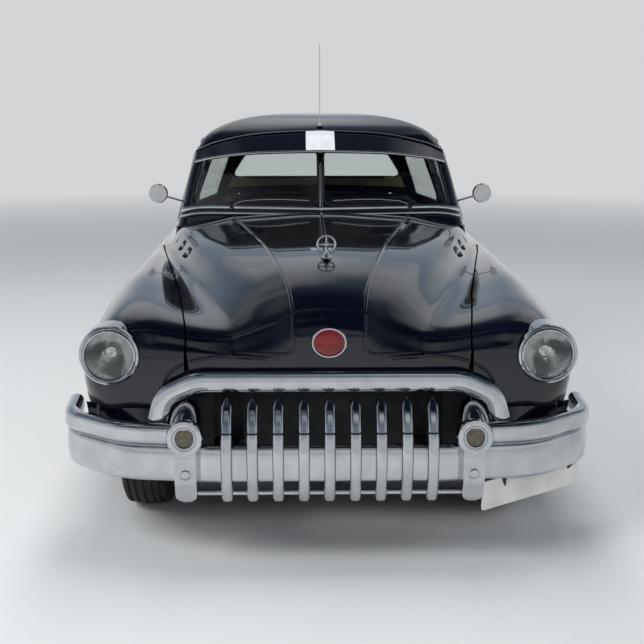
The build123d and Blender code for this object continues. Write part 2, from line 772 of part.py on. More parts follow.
# Front suspension: cross member, arms, spring towers, and the knuckles between the arms
kingpin_x = 660
kingpin_radius = 16
kingpin_bottom = 257.5
kingpin_top = 461.5
arm_eye_radius = 22
arm_inner = rail_x + rail_width + 5
lower_arm = (232, kingpin_bottom - seat_gap)
upper_arm = (kingpin_top + seat_gap, 478)
spring_x = 520
spring_radius = 52
tower_outer = rail_x + rail_width + 22
spindle_radius = 18
spindle_length = 50
backing_radius = 140
backing_front = 60
backing_thickness = 4

with BuildPart() as front_suspension:
    extrude(side_face(upright(front_axle - 60, front_axle + 60, 228, horn_bottom - seat_gap)),
            amount=arm_inner + 5, both=True)
    for low, high in (lower_arm, upper_arm):
        for sign in (-1, 1):
            arm_plan = [(sign * (arm_inner - 2), front_axle - 130), (sign * (arm_inner - 2), front_axle + 130),
                        (sign * (kingpin_x - 5), front_axle + 18), (sign * (kingpin_x - 5), front_axle - 18)]
            extrude(plan_face(arm_plan, low), amount=high - low)
            with BuildSketch(Plane.XY.offset(low)):
                with Locations((sign * kingpin_x, at(front_axle))):
                    Circle(arm_eye_radius)
            extrude(amount=high - low)
    for sign in (-1, 1):
        tower = side_face(upright(front_axle - 60, front_axle + 60, horn_bottom - 60, upper_arm[1]))
        extrude(tower.moved(Location((sign * (rail_x + rail_width + seat_gap), 0, 0))),
                amount=sign * (tower_outer - rail_x - rail_width - seat_gap))
        with BuildSketch(Plane.XY.offset(lower_arm[1] - 1)):
            with Locations((sign * spring_x, at(front_axle))):
                Circle(spring_radius)
        extrude(amount=upper_arm[0] - lower_arm[1] + 2)
write(front_suspension.part, "front_suspension")


front_wheel_x = front_track / 2
rear_wheel_x = rear_track / 2
with BuildPart() as knuckle:
    with BuildSketch(Plane.XY.offset(kingpin_bottom)):
        with Locations((kingpin_x, at(front_axle))):
            Circle(kingpin_radius)
    extrude(amount=kingpin_top - kingpin_bottom)
    with BuildSketch(across(kingpin_x, front_axle, axle_height)):
        Circle(30)
    extrude(amount=front_wheel_x - backing_front - kingpin_x + 1)
    with BuildSketch(across(front_wheel_x - backing_front, front_axle, axle_height)):
        Circle(backing_radius)
    extrude(amount=backing_thickness)
    with BuildSketch(across(front_wheel_x - backing_front, front_axle, axle_height)):
        Circle(spindle_radius)
    extrude(amount=backing_front + spindle_length)
write_pair(knuckle.part, "front_knuckle")

# Wheels: one profile of offset from the wheel's middle plane and radius, turned about the axle
rim_radius = 190
drum_radius = 138
drum_wall = 16
hub_radius = 45
wheel_profile = [
    (-46, spindle_radius + hub_clearance), (spindle_length + 5, spindle_radius + hub_clearance),
    (spindle_length + 5, 0), (92, 0), (84, 60), (72, 118), (58, 150), (60, 172), (68, 188), (78, 200),
    (76, 206), (70, 206), (66, rim_radius - seat_gap), (-66, rim_radius - seat_gap), (-70, 206),
    (-76, 206), (-75, 181), (10, 172), (10, drum_radius), (-50, drum_radius),
    (-50, drum_radius - drum_wall), (0, drum_radius - drum_wall), (0, hub_radius), (-46, hub_radius),
]


def wheel(x, station):
    """A wheel with its drum, hub and cover."""
    with BuildPart() as turned:
        with BuildSketch(Plane(origin=(x, at(station), axle_height), x_dir=(1, 0, 0), z_dir=(0, -1, 0))):
            with BuildLine():
                Polyline(*wheel_profile, close=True)
            make_face()
        revolve(axis=Axis((x, at(station), axle_height), (1, 0, 0)))
    return turned.part


def tyre(x, station):
    """A tyre seated on its rim."""
    half = tyre_width / 2
    with BuildPart() as turned:
        with BuildSketch(Plane(origin=(x, at(station), axle_height), x_dir=(1, 0, 0), z_dir=(0, -1, 0))):
            with BuildLine():
                bead = Polyline((-65.5, 207), (-65.5, rim_radius), (65.5, rim_radius), (65.5, 207))
                ThreePointArc((65.5, 207), (half, 262), (82, tyre_radius - 8))
                ThreePointArc((82, tyre_radius - 8), (0, tyre_radius), (-82, tyre_radius - 8))
                ThreePointArc((-82, tyre_radius - 8), (-half, 262), (-65.5, 207))
            make_face()
        revolve(axis=Axis((x, at(station), axle_height), (1, 0, 0)))
    return turned.part


write_pair(wheel(front_wheel_x, front_axle), "front_wheel")
write_pair(wheel(rear_wheel_x, rear_axle), "rear_wheel")
write_pair(tyre(front_wheel_x, front_axle), "front_tyre")
write_pair(tyre(rear_wheel_x, rear_axle), "rear_tyre")

# Rear axle with its spindles and the torque tube to the engine
axle_tube_radius = 38
torque_tube_radius = 34
differential_radius = 132
torque_tube_z = 352
with BuildPart() as axle:
    end = rear_wheel_x - backing_front
    with BuildSketch(across(-end, rear_axle, axle_height)):
        Circle(axle_tube_radius)
    extrude(amount=2 * end)
    with Locations((0, at(rear_axle), axle_height)):
        Sphere(differential_radius)
    with BuildSketch(Plane.XZ.offset(-at(engine_rear + seat_gap))):
        with Locations((0, torque_tube_z)):
            Circle(torque_tube_radius)
    extrude(amount=engine_rear - rear_axle)
    for sign in (-1, 1):
        with BuildSketch(across(sign * end, rear_axle, axle_height)):
            Circle(backing_radius)
        extrude(amount=sign * backing_thickness)
        with BuildSketch(across(sign * end, rear_axle, axle_height)):
            Circle(spindle_radius)
        extrude(amount=sign * (backing_front + spindle_length))
write(axle.part, "rear_axle")

# Exhaust and fuel tank
pipe_radius = 22
pipe_z = 222
pipe_x = -250
silencer = (2550, 3150, 58)
with BuildPart() as exhaust:
    with BuildLine() as route:
        FilletPolyline((-engine_half_width - seat_gap, at(1130), 420), (pipe_x, at(1130), 420),
                       (pipe_x, at(1130), pipe_z), (pipe_x, at(3900), pipe_z), (-490, at(4400), 300),
                       (-500, at(5080), 320), radius=(28, 60, 300, 300))
    with BuildSketch(Plane(origin=route.line @ 0, z_dir=route.line % 0)):
        Circle(pipe_radius)
    sweep(path=route.line)
    with BuildSketch(Plane.XZ.offset(-at(silencer[0]))):
        with Locations((pipe_x, pipe_z)):
            Circle(silencer[2])
    extrude(amount=silencer[0] - silencer[1])
write(exhaust.part, "exhaust")

tank_half_width = rail_x - 10
with BuildPart() as tank:
    extrude(side_face(upright(4560, 4960, 300, rear_floor_bottom - seat_gap)), amount=tank_half_width,
            both=True)
    fillet(tank.edges().filter_by(Axis.X), radius=30)
write(tank.part, "fuel_tank")

# Front bumper: main bar, rolled upper bars, guards with their parking-lamp pods, brackets
bumper_bottom = 345
bumper_top = 485
bumper_depth = 38
bumper_line = [(420, 72), (760, 115), (980, 300), (998, 520)]
bumper_radii = (300, 300, 150, 150, 300, 300)
roll_line = [(560, 88), (760, 115), (980, 300), (998, 520)]
roll_radii = (300, 150)
roll_z = 522
roll_height = 78
roll_depth = 56
guard_x = 522
pod_z = 530
pod_radius = 66.5
pod_lens_radius = 44
pod_lens_depth = 20
blade_half_width = 39
blade_bottom = 271
bracket_inner = 350
bracket_width = 60
bracket_bottom = 340
bracket_top = 390


def bar(line, radii, z, depth, height):
    """A rounded bar along a line in plan, its profile upright."""
    points = [(x, at(station)) for x, station in line]
    with BuildPart() as swept:
        with BuildLine(Plane.XY.offset(z)) as route:
            FilletPolyline(*points, radius=fitted_radii(points, radii))
        start = Plane(origin=route.line @ 0, x_dir=(0, 0, 1), z_dir=route.line % 0)
        with BuildSketch(start):
            RectangleRounded(height, depth, 0.45 * depth)
        sweep(path=route.line)
    return swept.part


with BuildPart() as front_bumper:
    line = [(-x, station) for x, station in reversed(bumper_line)] + bumper_line
    add(bar(line, bumper_radii, (bumper_bottom + bumper_top) / 2, bumper_depth,
            bumper_top - bumper_bottom))
    add(bar(roll_line, roll_radii, roll_z, roll_depth, roll_height))
    add(bar([(-x, station) for x, station in roll_line], roll_radii, roll_z, roll_depth, roll_height))
    for sign in (-1, 1):
        with BuildSketch(Plane(origin=(sign * guard_x, at(0), pod_z), x_dir=(1, 0, 0), z_dir=(0, 0, 1))):
            with BuildLine():
                Polyline((0, 210), (0, 6), (pod_lens_radius + 8, 0), (pod_radius - 4, 2),
                         (pod_radius, 12), (pod_radius - 2, 70), (50, 140), (26, 190), (0, 210))
            make_face()
        revolve(axis=Axis((sign * guard_x, 0, pod_z), (0, 1, 0)))
        blade = side_face([(18, pod_z), (10, 450), (20, 350), (42, 290), (62, blade_bottom),
                           (80, blade_bottom), (80, pod_z)])
        with BuildPart() as blade_part:
            extrude(blade.moved(Location((sign * guard_x, 0, 0))), amount=blade_half_width, both=True)
            with BuildSketch(Plane.XZ.offset(-at(0))):
                with Locations((sign * guard_x, (pod_z + blade_bottom) / 2)):
                    RectangleRounded(2 * blade_half_width, pod_z - blade_bottom, blade_half_width - 2)
            extrude(amount=-100, mode=Mode.INTERSECT)
        add(blade_part.part)
        bracket = side_face(upright(80, rail_front - seat_gap, bracket_bottom, bracket_top))
        extrude(bracket.moved(Location((sign * bracket_inner, 0, 0))), amount=sign * bracket_width)
        with BuildSketch(Plane.XZ.offset(-at(0))):
            with Locations((sign * guard_x, pod_z)):
                Circle(pod_lens_radius)
        extrude(amount=-pod_lens_depth, mode=Mode.SUBTRACT)
write(front_bumper.part, "front_bumper")

# Grille teeth hooked over the bumper, joined by a rod
tooth_count = 9
tooth_pitch = 93.5
tooth_half_width = 21
tooth_round = 13
tooth_top = 657
rod_radius = 9
rod_station = 76
rod_z = 302
with BuildPart() as tooth:
    with BuildSketch(Plane.YZ.offset(-tooth_half_width)) as side_sketch:
        with BuildLine():
            ThreePointArc((at(100), 655), (at(5), 465), (at(60), 272))
            Polyline((at(60), 272), (at(88), 276), (at(53) - seat_gap, 338), (at(53) - seat_gap, 492),
                     (at(140), 640), (at(100), 655))
        make_face()
    extrude(amount=2 * tooth_half_width)
    front_edges = tooth.edges().filter_by(GeomType.CIRCLE)
    fillet(front_edges, radius=tooth_round)
    with BuildSketch(Plane.XZ.offset(-at(0))):
        with BuildLine():
            Polyline((tooth_half_width, 592), (tooth_half_width, 290), (12, 274), (-12, 274),
                     (-tooth_half_width, 290), (-tooth_half_width, 592))
            ThreePointArc((-tooth_half_width, 592), (-15, 634), (0, tooth_top))
            ThreePointArc((0, tooth_top), (15, 634), (tooth_half_width, 592))
        make_face()
    extrude(amount=-200, mode=Mode.INTERSECT)
with BuildPart() as grille:
    middle = (tooth_count - 1) / 2
    with Locations(*[((index - middle) * tooth_pitch, 0, 0) for index in range(tooth_count)]):
        add(tooth.part)
    rod_half = guard_x - blade_half_width - seat_gap
    with BuildSketch(across(-rod_half, rod_station, rod_z)):
        Circle(rod_radius)
    extrude(amount=2 * rod_half)
write(grille.part, "grille_teeth")

# Header bar over the teeth
header_station = 142
header_half_depth = 22
header_half_height = 39
header_line = [(630, 560), (606, 650), (490, 704)]
header_radii = (90, 160, 160, 90)
with BuildPart() as header:
    with BuildLine(Plane.XZ.offset(-at(header_station))) as route:
        points = header_line + mirrored(reversed(header_line))
        FilletPolyline(*points, radius=fitted_radii(points, header_radii))
    with BuildSketch(Plane(origin=route.line @ 0, x_dir=(0, 1, 0), z_dir=route.line % 0)):
        Ellipse(header_half_depth, header_half_height)
    sweep(path=route.line)
    for sign in (-1, 1):
        pad = side_face(upright(header_station, header_station + 80, 590, 650))
        extrude(pad.moved(Location((sign * 600, 0, 0))), amount=sign * 36)
    add(front_outer.moved(Location((0, -seat_gap, 0))), mode=Mode.SUBTRACT)
write(header.part, "grille_header")


def turned(profile, x, z):
    """A piece turned about a line along the car, from corners of radius and station."""
    with BuildPart() as part:
        with BuildSketch(Plane(origin=(x, 0, z), x_dir=(1, 0, 0), z_dir=(0, 0, 1))):
            with BuildLine():
                Polyline(*[(radius, at(station)) for radius, station in profile], close=True)
            make_face()
        revolve(axis=Axis((x, 0, z), (0, 1, 0)))
    return part.part


# Headlamps, lenses and tail lamps
lens_radius = 94
rim_profile = [(lens_radius, 190), (lens_radius + 3, 180), (103, 176), (109, 180), (headlamp_radius, 192),
               (headlamp_radius, 290), (80, 326), (0, 326), (0, 312), (70, 312), (lens_radius, 285)]
lens_profile = [(0, 176), (40, 178), (72, 184), (lens_radius - seat_gap, 192),
                (lens_radius - seat_gap, 198), (0, 198)]
parking_profile = [(0, 2), (25, 4), (pod_lens_radius - seat_gap, 10),
                   (pod_lens_radius - seat_gap, pod_lens_depth - seat_gap), (0, pod_lens_depth - seat_gap)]
tail_profile = [(0, tail_lamp_front), (tail_lamp_radius, tail_lamp_front), (tail_lamp_radius, 5106),
                (38, 5118), (20, tail_lamp_rear), (0, tail_lamp_rear)]
with BuildPart() as headlamps:
    add(turned(rim_profile, headlamp_x, headlamp_z))
    add(turned(rim_profile, -headlamp_x, headlamp_z))
write(headlamps.part, "headlamps")
with BuildPart() as lenses:
    for sign in (-1, 1):
        add(turned(lens_profile, sign * headlamp_x, headlamp_z))
        add(turned(parking_profile, sign * guard_x, pod_z))
write(lenses.part, "lamp_lenses")
with BuildPart() as tail_lamps:
    add(turned(tail_profile, tail_lamp_x, tail_lamp_z))
    add(turned(tail_profile, -tail_lamp_x, tail_lamp_z))
write(tail_lamps.part, "tail_lamps")

# Sun visor over the windscreen with its brackets, and the aerial behind it
visor_thickness = 4
# x, lower station, lower z, upper station, upper z
visor_rows = [
    (655, 2195, 1368, 2280, 1418), (560, 2160, 1390, 2286, 1458), (300, 2118, 1418, 2296, 1506),
    (0, 2100, 1426, 2300, 1521),
]
clear_of_glasshouse = glasshouse_solid(-seat_gap)
with BuildPart() as visor:
    sheet_sections = []
    for x, low_station, low_z, high_station, high_z in visor_rows + [
            (-row[0],) + row[1:] for row in reversed(visor_rows[:-1])]:
        with BuildSketch(Plane.YZ.offset(x)) as section:
            with BuildLine():
                Polyline((at(low_station), low_z), (at(high_station), high_z),
                         (at(high_station), high_z - visor_thickness),
                         (at(low_station), low_z - visor_thickness), close=True)
            make_face()
        sheet_sections.append(section.sketch.faces()[0])
    loft(sections=sheet_sections, ruled=True)
    extrude(side_face([(2270, 1500), (2290, 1514), (2345, 1548), (2345, 1500)]), amount=15, both=True)
    for sign in (-1, 1):
        lug = side_face([(2250, 1403), (2276, 1424), (2340, 1440), (2340, 1400)])
        extrude(lug.moved(Location((sign * 650, 0, 0))), amount=-sign * 24)
    add(clear_of_glasshouse, mode=Mode.SUBTRACT)
write(visor.part, "sun_visor")

aerial_station = 2375
aerial_top = 1980
with BuildPart() as aerial:
    with BuildSketch(Plane.XY.offset(1500)):
        with Locations((0, at(aerial_station))):
            Circle(12)
    extrude(amount=62)
    with BuildSketch(Plane.XY.offset(1550)):
        with Locations((0, at(aerial_station))):
            Circle(2.5)
    extrude(amount=aerial_top - 1550)
    add(clear_of_glasshouse, mode=Mode.SUBTRACT)
write(aerial.part, "aerial")

# Mirrors on the front doors
mirror_centre = (843, 2100, 1210)
mirror_foot = (695, 2135, 1160)
with BuildPart() as door_mirror:
    x, station, z = mirror_centre
    with BuildSketch(Plane.XZ.offset(-at(station + 8))):
        with Locations((x, z)):
            Circle(50)
    extrude(amount=16, taper=18)
    start = Vector(x - 40, at(station), z - 14)
    end = Vector(mirror_foot[0], at(mirror_foot[1]), mirror_foot[2])
    with BuildSketch(Plane(origin=start, z_dir=end - start)):
        Circle(5)
    extrude(amount=(end - start).length)
    add(clear_of_glasshouse, mode=Mode.SUBTRACT)
write_pair(door_mirror.part, "door_mirror")

# Bonnet brightwork: ring ornament on its base, and three portholes on each side
ornament_station = 680
ornament_z = 1135
porthole_stations = (1450, 1630, 1810)
with BuildPart() as brightwork:
    add(turned([(0, 610), (8, 625), (14, 650), (17, 680), (14, 710), (8, 735), (0, 750)], 0, 1088))
    ring_plane = Plane(origin=(0, at(ornament_station), ornament_z), x_dir=(1, 0, 0), z_dir=(0, -1, 0))
    with Locations(ring_plane):
        Torus(36, 4.5)
        Box(70, 6, 5)
        with Locations((0, -30, 0)):
            Box(12, 14, 9)
    for station in porthole_stations:
        row = section_at(station)
        for sign in (-1, 1):
            foot = Vector(sign * (row[7] + row[9]) / 2, at(station), (row[8] + row[10]) / 2)
            normal = Vector(sign * (row[10] - row[8]), 0, row[7] - row[9]).normalized()
            with BuildSketch(Plane(origin=foot - normal * 10, z_dir=normal)):
                Circle(31)
                Circle(21, mode=Mode.SUBTRACT)
            extrude(amount=18)
    add(front_outer.moved(Location((0, 0, seat_gap))), mode=Mode.SUBTRACT)
write(brightwork.part, "bonnet_brightwork")

# Rear bumper with its guards and brackets
rear_bumper_line = [(500, 5146), (760, 5118), (925, 5000), (950, 4850)]
with BuildPart() as rear_bumper:
    line = [(-x, station) for x, station in reversed(rear_bumper_line)] + rear_bumper_line
    add(bar(line, bumper_radii, (bumper_bottom + bumper_top) / 2, bumper_depth,
            bumper_top - bumper_bottom))
    for sign in (-1, 1):
        guard = side_face([(5132, 300), (5160, 300), (length, 360), (length, 500), (5165, 560), (5132, 560)])
        extrude(guard.moved(Location((sign * 450, 0, 0))), amount=35, both=True)
        bracket = side_face(upright(5060 + seat_gap, 5140, 431, 455))
        extrude(bracket.moved(Location((sign * bracket_inner, 0, 0))), amount=sign * bracket_width)
write(rear_bumper.part, "rear_bumper")

# Steering wheel, dashboard with the steering column
steering_plane = Plane(origin=(370, at(2330), 1010), x_dir=(1, 0, 0), z_dir=(0, 0.775, 0.632))
steering_ring = 215
steering_tube = 11
column_radius = 20
column_pin = 9
column_end = -20
with BuildPart(steering_plane) as steering_wheel:
    Torus(steering_ring, steering_tube)
    Cylinder(35, 36)
    with Locations((0, 0, -2)):
        Box(2 * steering_ring, 26, 10)
    Cylinder(column_pin + hub_clearance, 80, mode=Mode.SUBTRACT)
write(steering_wheel.part, "steering_wheel")

dash_face = floor_front + sheet + seat_gap
dash_side = [(dash_face, 1050), (2080, 1052), (2130, 1015), (2130, 900), (2060, 880), (dash_face, 960)]
with BuildPart() as dashboard:
    extrude(side_face(dash_side), amount=610, both=True)
    hanger = side_face(upright(2060, 2110, 830, 890))
    extrude(hanger.moved(Location((370, 0, 0))), amount=25, both=True)
    with BuildSketch(steering_plane.offset(column_end)):
        Circle(column_radius)
    extrude(amount=-460)
    with BuildSketch(steering_plane.offset(column_end - 1)):
        Circle(column_pin)
    extrude(amount=26)
write(dashboard.part, "dashboard")

# Seats
floor_top = floor_bottom + sheet + seat_gap
front_seat_side = [(2480, floor_top), (2480, 590), (2505, 635), (2930, 610), (2990, 930), (3010, 955),
                   (3090, 955), (3110, 930), (3050, 480), (3040, floor_top)]
rear_seat_side = [(3340, floor_top), (3340, 600), (3365, 648), (3770, 625), (3850, 980), (3875, 1005),
                  (bulkhead_station - seat_gap, 1005),
                  (bulkhead_station - seat_gap, rear_floor_bottom + sheet + seat_gap),
                  (riser_station - seat_gap, rear_floor_bottom + sheet + seat_gap),
                  (riser_station - seat_gap, floor_top)]
for name, outline, half_width in (("front_seat", front_seat_side, 610), ("rear_seat", rear_seat_side, 545)):
    with BuildPart() as seat:
        extrude(side_face(outline), amount=half_width, both=True)
        with BuildSketch(Plane.XZ.offset(-at(floor_front))):
            with Locations((0, floor_bottom)):
                Circle(tunnel_radius + 10 + seat_gap)
        extrude(amount=floor_front - riser_station - sheet, mode=Mode.SUBTRACT)
    write(seat.part, name)
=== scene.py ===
"""Looks of a full-size four-door saloon of about 1950, in Blender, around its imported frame.

Metres, in the frame's own axes: +Z up, the car faces -Y, +X is its left side. Stations are
distances behind the foremost face of the front bumper, in millimetres as in the section tables.
"""
from __future__ import annotations

import json
import logging
import math
from dataclasses import dataclass, field
from enum import Enum

import bpy
import numpy as np
from bpy.types import Node, NodeSocket as Socket, NodeTree as Tree, Object as Obj
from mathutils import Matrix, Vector
from mathutils.bvhtree import BVHTree
from numpy import ndarray as Array

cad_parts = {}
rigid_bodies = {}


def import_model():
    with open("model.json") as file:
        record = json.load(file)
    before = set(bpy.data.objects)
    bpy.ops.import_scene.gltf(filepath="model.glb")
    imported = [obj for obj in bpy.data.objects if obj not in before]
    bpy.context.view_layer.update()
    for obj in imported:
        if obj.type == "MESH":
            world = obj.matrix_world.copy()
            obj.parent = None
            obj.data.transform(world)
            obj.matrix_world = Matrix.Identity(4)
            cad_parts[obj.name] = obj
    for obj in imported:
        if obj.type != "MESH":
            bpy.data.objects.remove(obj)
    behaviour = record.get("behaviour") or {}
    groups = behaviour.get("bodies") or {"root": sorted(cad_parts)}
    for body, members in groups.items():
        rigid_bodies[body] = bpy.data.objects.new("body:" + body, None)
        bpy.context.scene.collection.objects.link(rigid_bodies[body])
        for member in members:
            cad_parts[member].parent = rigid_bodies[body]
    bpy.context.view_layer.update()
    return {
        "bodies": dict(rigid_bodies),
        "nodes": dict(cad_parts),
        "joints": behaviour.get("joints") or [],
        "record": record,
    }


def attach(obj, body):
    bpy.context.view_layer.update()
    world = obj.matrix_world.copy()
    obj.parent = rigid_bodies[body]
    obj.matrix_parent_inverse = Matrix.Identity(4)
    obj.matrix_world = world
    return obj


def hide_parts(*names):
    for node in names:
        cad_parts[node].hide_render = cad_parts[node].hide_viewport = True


LOG = logging.getLogger("saloon")
MM = 0.001
HALF_LENGTH = 2595.0
HANDS = ((1, "left"), (-1, "right"))  # sign of X on each side

# station, sill x, sill z, side x, side z, crest x, crest z, valley x, valley z,
# wall x, wall z, bead x, bead z, top z
BODY_ROWS = np.array([
    (172, 250, 600, 300, 690, 285, 790, 205, 782, 165, 820, 133, 860, 868),
    (200, 700, 590, 800, 700, 742, 852, 370, 778, 200, 850, 132, 905, 915),
    (235, 830, 577, 900, 720, 792, 908, 390, 832, 215, 895, 133, 950, 958),
    (300, 880, 520, 940, 730, 802, 938, 400, 860, 235, 930, 139, 988, 996),
    (400, 890, 420, 958, 730, 815, 960, 425, 873, 270, 962, 155, 1022, 1030),
    (650, 880, 340, 975, 720, 835, 982, 490, 892, 345, 1005, 203, 1070, 1080),
    (1050, 870, 320, 984, 690, 845, 1000, 590, 922, 470, 1035, 270, 1095, 1108),
    (1500, 870, 310, 985, 660, 840, 992, 690, 945, 610, 1052, 360, 1105, 1122),
    (2000, 868, 300, 980, 630, 862, 950, 775, 960, 712, 1072, 460, 1112, 1136),
    (2900, 865, 300, 976, 610, 884, 892, 790, 990, 740, 1030, 500, 1070, 1080),
    (3500, 868, 300, 980, 610, 880, 872, 775, 985, 720, 1040, 480, 1095, 1105),
    (3946, 866, 310, 982, 610, 870, 868, 745, 975, 690, 1045, 450, 1108, 1118),
    (4400, 840, 340, 960, 615, 845, 852, 715, 940, 650, 1005, 430, 1052, 1064),
    (4800, 800, 380, 905, 625, 800, 815, 680, 875, 600, 925, 400, 960, 972),
    (5000, 740, 420, 850, 635, 750, 775, 640, 815, 560, 850, 380, 875, 885),
    (5085, 660, 460, 760, 640, 670, 730, 560, 752, 490, 775, 340, 790, 798),
    (5112, 560, 500, 640, 640, 560, 690, 470, 702, 410, 715, 280, 722, 728),
], float)

# height, front station, corner x, corner station, side x, side station,
# rear corner x, rear corner station, rear station
GLASSHOUSE_ROWS = np.array([
    (950, 1720, 752, 1850, 795, 2900, 650, 3900, 4110),
    (1130, 1886, 722, 2012, 770, 2900, 610, 3760, 3940),
    (1440, 2200, 645, 2290, 672, 2900, 500, 3420, 3590),
    (1500, 2280, 605, 2380, 632, 2880, 450, 3320, 3480),
    (1550, 2400, 515, 2500, 540, 2870, 380, 3190, 3340),
    (1585, 2580, 380, 2640, 405, 2860, 280, 3040, 3160),
    (1602, 2750, 190, 2780, 200, 2855, 150, 2930, 2990),
], float)

# Outlines of the panels' seams, in the same numbers as the frame
WIDE, TALL, LONG = 1300.0, 2300.0, 5600.0
BONNET_EDGE = [(531, 100), (531, 235), (555, 400), (599, 720), (665, 1110), (766, 1700), (806, 1990)]
NOSE_EDGE = np.array([(508, 600), (517, 720), (528, 808), (531, 857)], float)
MOUTH = [(612, 250), (612, 590), (575, 668), (500, 700), (400, 712), (0, 716)]
BONNET_REAR, WING_REAR, COWL_FRONT = 1898.0, 1979.0, 1910.0
SIDE_GAP, PANEL_GAP = 3.5, 6.0
WHEEL_Z, FRONT_WHEEL, REAR_WHEEL = 358.0, 860.0, 3946.0
FRONT_DOOR = [(1985, 372), (1985, 1000), (2082, 1133), (2352, 1446), (2420, 1468), (2902, 1468), (2902, 372)]
REAR_DOOR = [(2908, 372), (2908, 1468), (3340, 1468), (3480, 1380), (3610, 1180), (3680, 990)]
REAR_DOOR += [(REAR_WHEEL - math.sqrt(470 ** 2 - (z - WHEEL_Z) ** 2), z) for z in (780, 700, 600, 490, 372)]
DOORS = (("front", FRONT_DOOR), ("rear", REAR_DOOR))
WINDOW_FOOT = 1068.0
SCREEN = np.array([(12, 1166), (668, 1152), (612, 1418), (12, 1432)], float)
REAR_WINDOW = [(-560, 1165), (560, 1165), (490, 1290), (400, 1400), (-400, 1400), (-490, 1290)]
BOOT = [(527, 4075), (552, 4300), (552, 5300)]
HEADLAMP_X, HEADLAMP_Z, POD_X = 809.0, 793.0, 522.0
TAIL_LAMP_X, TAIL_LAMP_Z = 690.0, 640.0


def at(station: float | Array) -> float | Array:
    """Y in metres of a station in millimetres."""
    return (station - HALF_LENGTH) * MM


def spot(x: float | Array, station: float | Array, z: float | Array) -> Array:
    """Points in metres from x, station and height in millimetres, spread to one shape."""
    x, station, z = np.broadcast_arrays(*(np.asarray(v, float) for v in (x, station, z)))
    return np.stack([x * MM, at(station), z * MM], -1)


def unit(vectors: Array) -> Array:
    """Vectors brought to a length of one."""
    return vectors / np.maximum(np.linalg.norm(vectors, axis=-1, keepdims=True), 1e-12)


def normals(grid: Array, wrap: bool = False) -> Array:
    """Unit normals of a grid of points, the cross product of its two directions."""
    across = np.roll(grid, -1, 1) - np.roll(grid, 1, 1) if wrap else np.gradient(grid, axis=1)
    return unit(np.cross(np.gradient(grid, axis=0), across))


def monotone(x: Array, xs: Array, ys: Array) -> Array:
    """Interpolates every column of a table by a curve that keeps its rises and falls.

    Args:
        x: Where to read the table.
        xs: The table's rising positions.
        ys: The table's columns, one row per position.

    Returns:
        One row of columns for each x: cubic pieces with harmonic-mean slopes at the rows.
    """
    h = np.diff(xs)[:, None]
    d = np.diff(ys, axis=0) / h
    slopes = np.zeros_like(ys)
    w1, w2 = 2 * h[1:] + h[:-1], h[1:] + 2 * h[:-1]
    with np.errstate(divide="ignore", invalid="ignore"):
        inner = (w1 + w2) / (w1 / d[:-1] + w2 / d[1:])
    slopes[1:-1] = np.where(d[:-1] * d[1:] > 0, inner, 0)
    slopes[0], slopes[-1] = d[0], d[-1]
    i = np.clip(np.searchsorted(xs, x, side="right") - 1, 0, len(xs) - 2)
    t = ((x - xs[i]) / h[i, 0])[:, None]
    return ((1 + 2 * t) * (1 - t) ** 2 * ys[i] + t * (1 - t) ** 2 * h[i] * slopes[i]
            + t ** 2 * (3 - 2 * t) * ys[i + 1] + t ** 2 * (t - 1) * h[i] * slopes[i + 1])


def corner_weights(fractions: tuple[float, ...], per_corner: int, per_edge: int) -> Array:
    """Weights that turn a row of corner points into a rounded line through them.

    The first and last points are kept. Each corner between them becomes a parabola that
    starts and ends at a fraction of the half edge on either side.

    Args:
        fractions: One rounding from 0 (sharp) to 1 (half of both edges) for each inner corner.
        per_corner: Samples on each rounded corner.
        per_edge: Samples on each straight between two corners.

    Returns:
        A matrix with one row per sample and one column per corner point.
    """
    eye = np.eye(len(fractions) + 2)
    rows, last = [eye[:1]], eye[0]
    straight = np.linspace(0, 1, per_edge + 1)[1:, None]
    t = np.linspace(0, 1, per_corner + 1)[1:, None]
    for index, fraction in enumerate(fractions, start=1):
        start = eye[index] + (eye[index - 1] - eye[index]) * fraction * 0.5
        end = eye[index] + (eye[index + 1] - eye[index]) * fraction * 0.5
        rows += [last + (start - last) * straight,
                 (1 - t) ** 2 * start + 2 * t * (1 - t) * eye[index] + t ** 2 * end]
        last = end
    return np.concatenate(rows + [last + (eye[-1] - last) * straight])


def grid_quads(rows: int, columns: int, wrap: bool = False) -> Array:
    """Quads of a grid whose vertices are stored row by row, closed on itself if wrapped.

    Args:
        rows: Number of rows.
        columns: Vertices in a row.
        wrap: Whether the last column joins the first.

    Returns:
        One row of four vertex indices for each quad.
    """
    i = np.arange(rows - 1)[:, None] * columns
    j = np.arange(columns if wrap else columns - 1)[None]
    k = (j + 1) % columns
    return np.stack([i + j, i + k, i + columns + k, i + columns + j], -1).reshape(-1, 4)


def capped(rows: int, columns: int, flip: bool = False) -> list:
    """Faces of a wrapped grid whose first and last rows are each closed by one face.

    Args:
        rows: Number of rows.
        columns: Vertices in a row.
        flip: Whether the faces look the other way.

    Returns:
        Blocks of faces for a mesh.
    """
    ring, last = np.arange(columns), (rows - 1) * columns
    quads = grid_quads(rows, columns, True)
    return [quads[:, ::-1], [ring], [last + ring[::-1]]] if flip else [quads, [ring[::-1]], [last + ring]]


def link(name: str, data: bpy.types.ID) -> Obj:
    """A new object for a mesh, light or camera, at the origin and in the scene.

    Args:
        name: The object's name.
        data: The mesh, light or camera.

    Returns:
        The object.
    """
    obj = bpy.data.objects.new(name, data)
    bpy.context.scene.collection.objects.link(obj)
    return obj


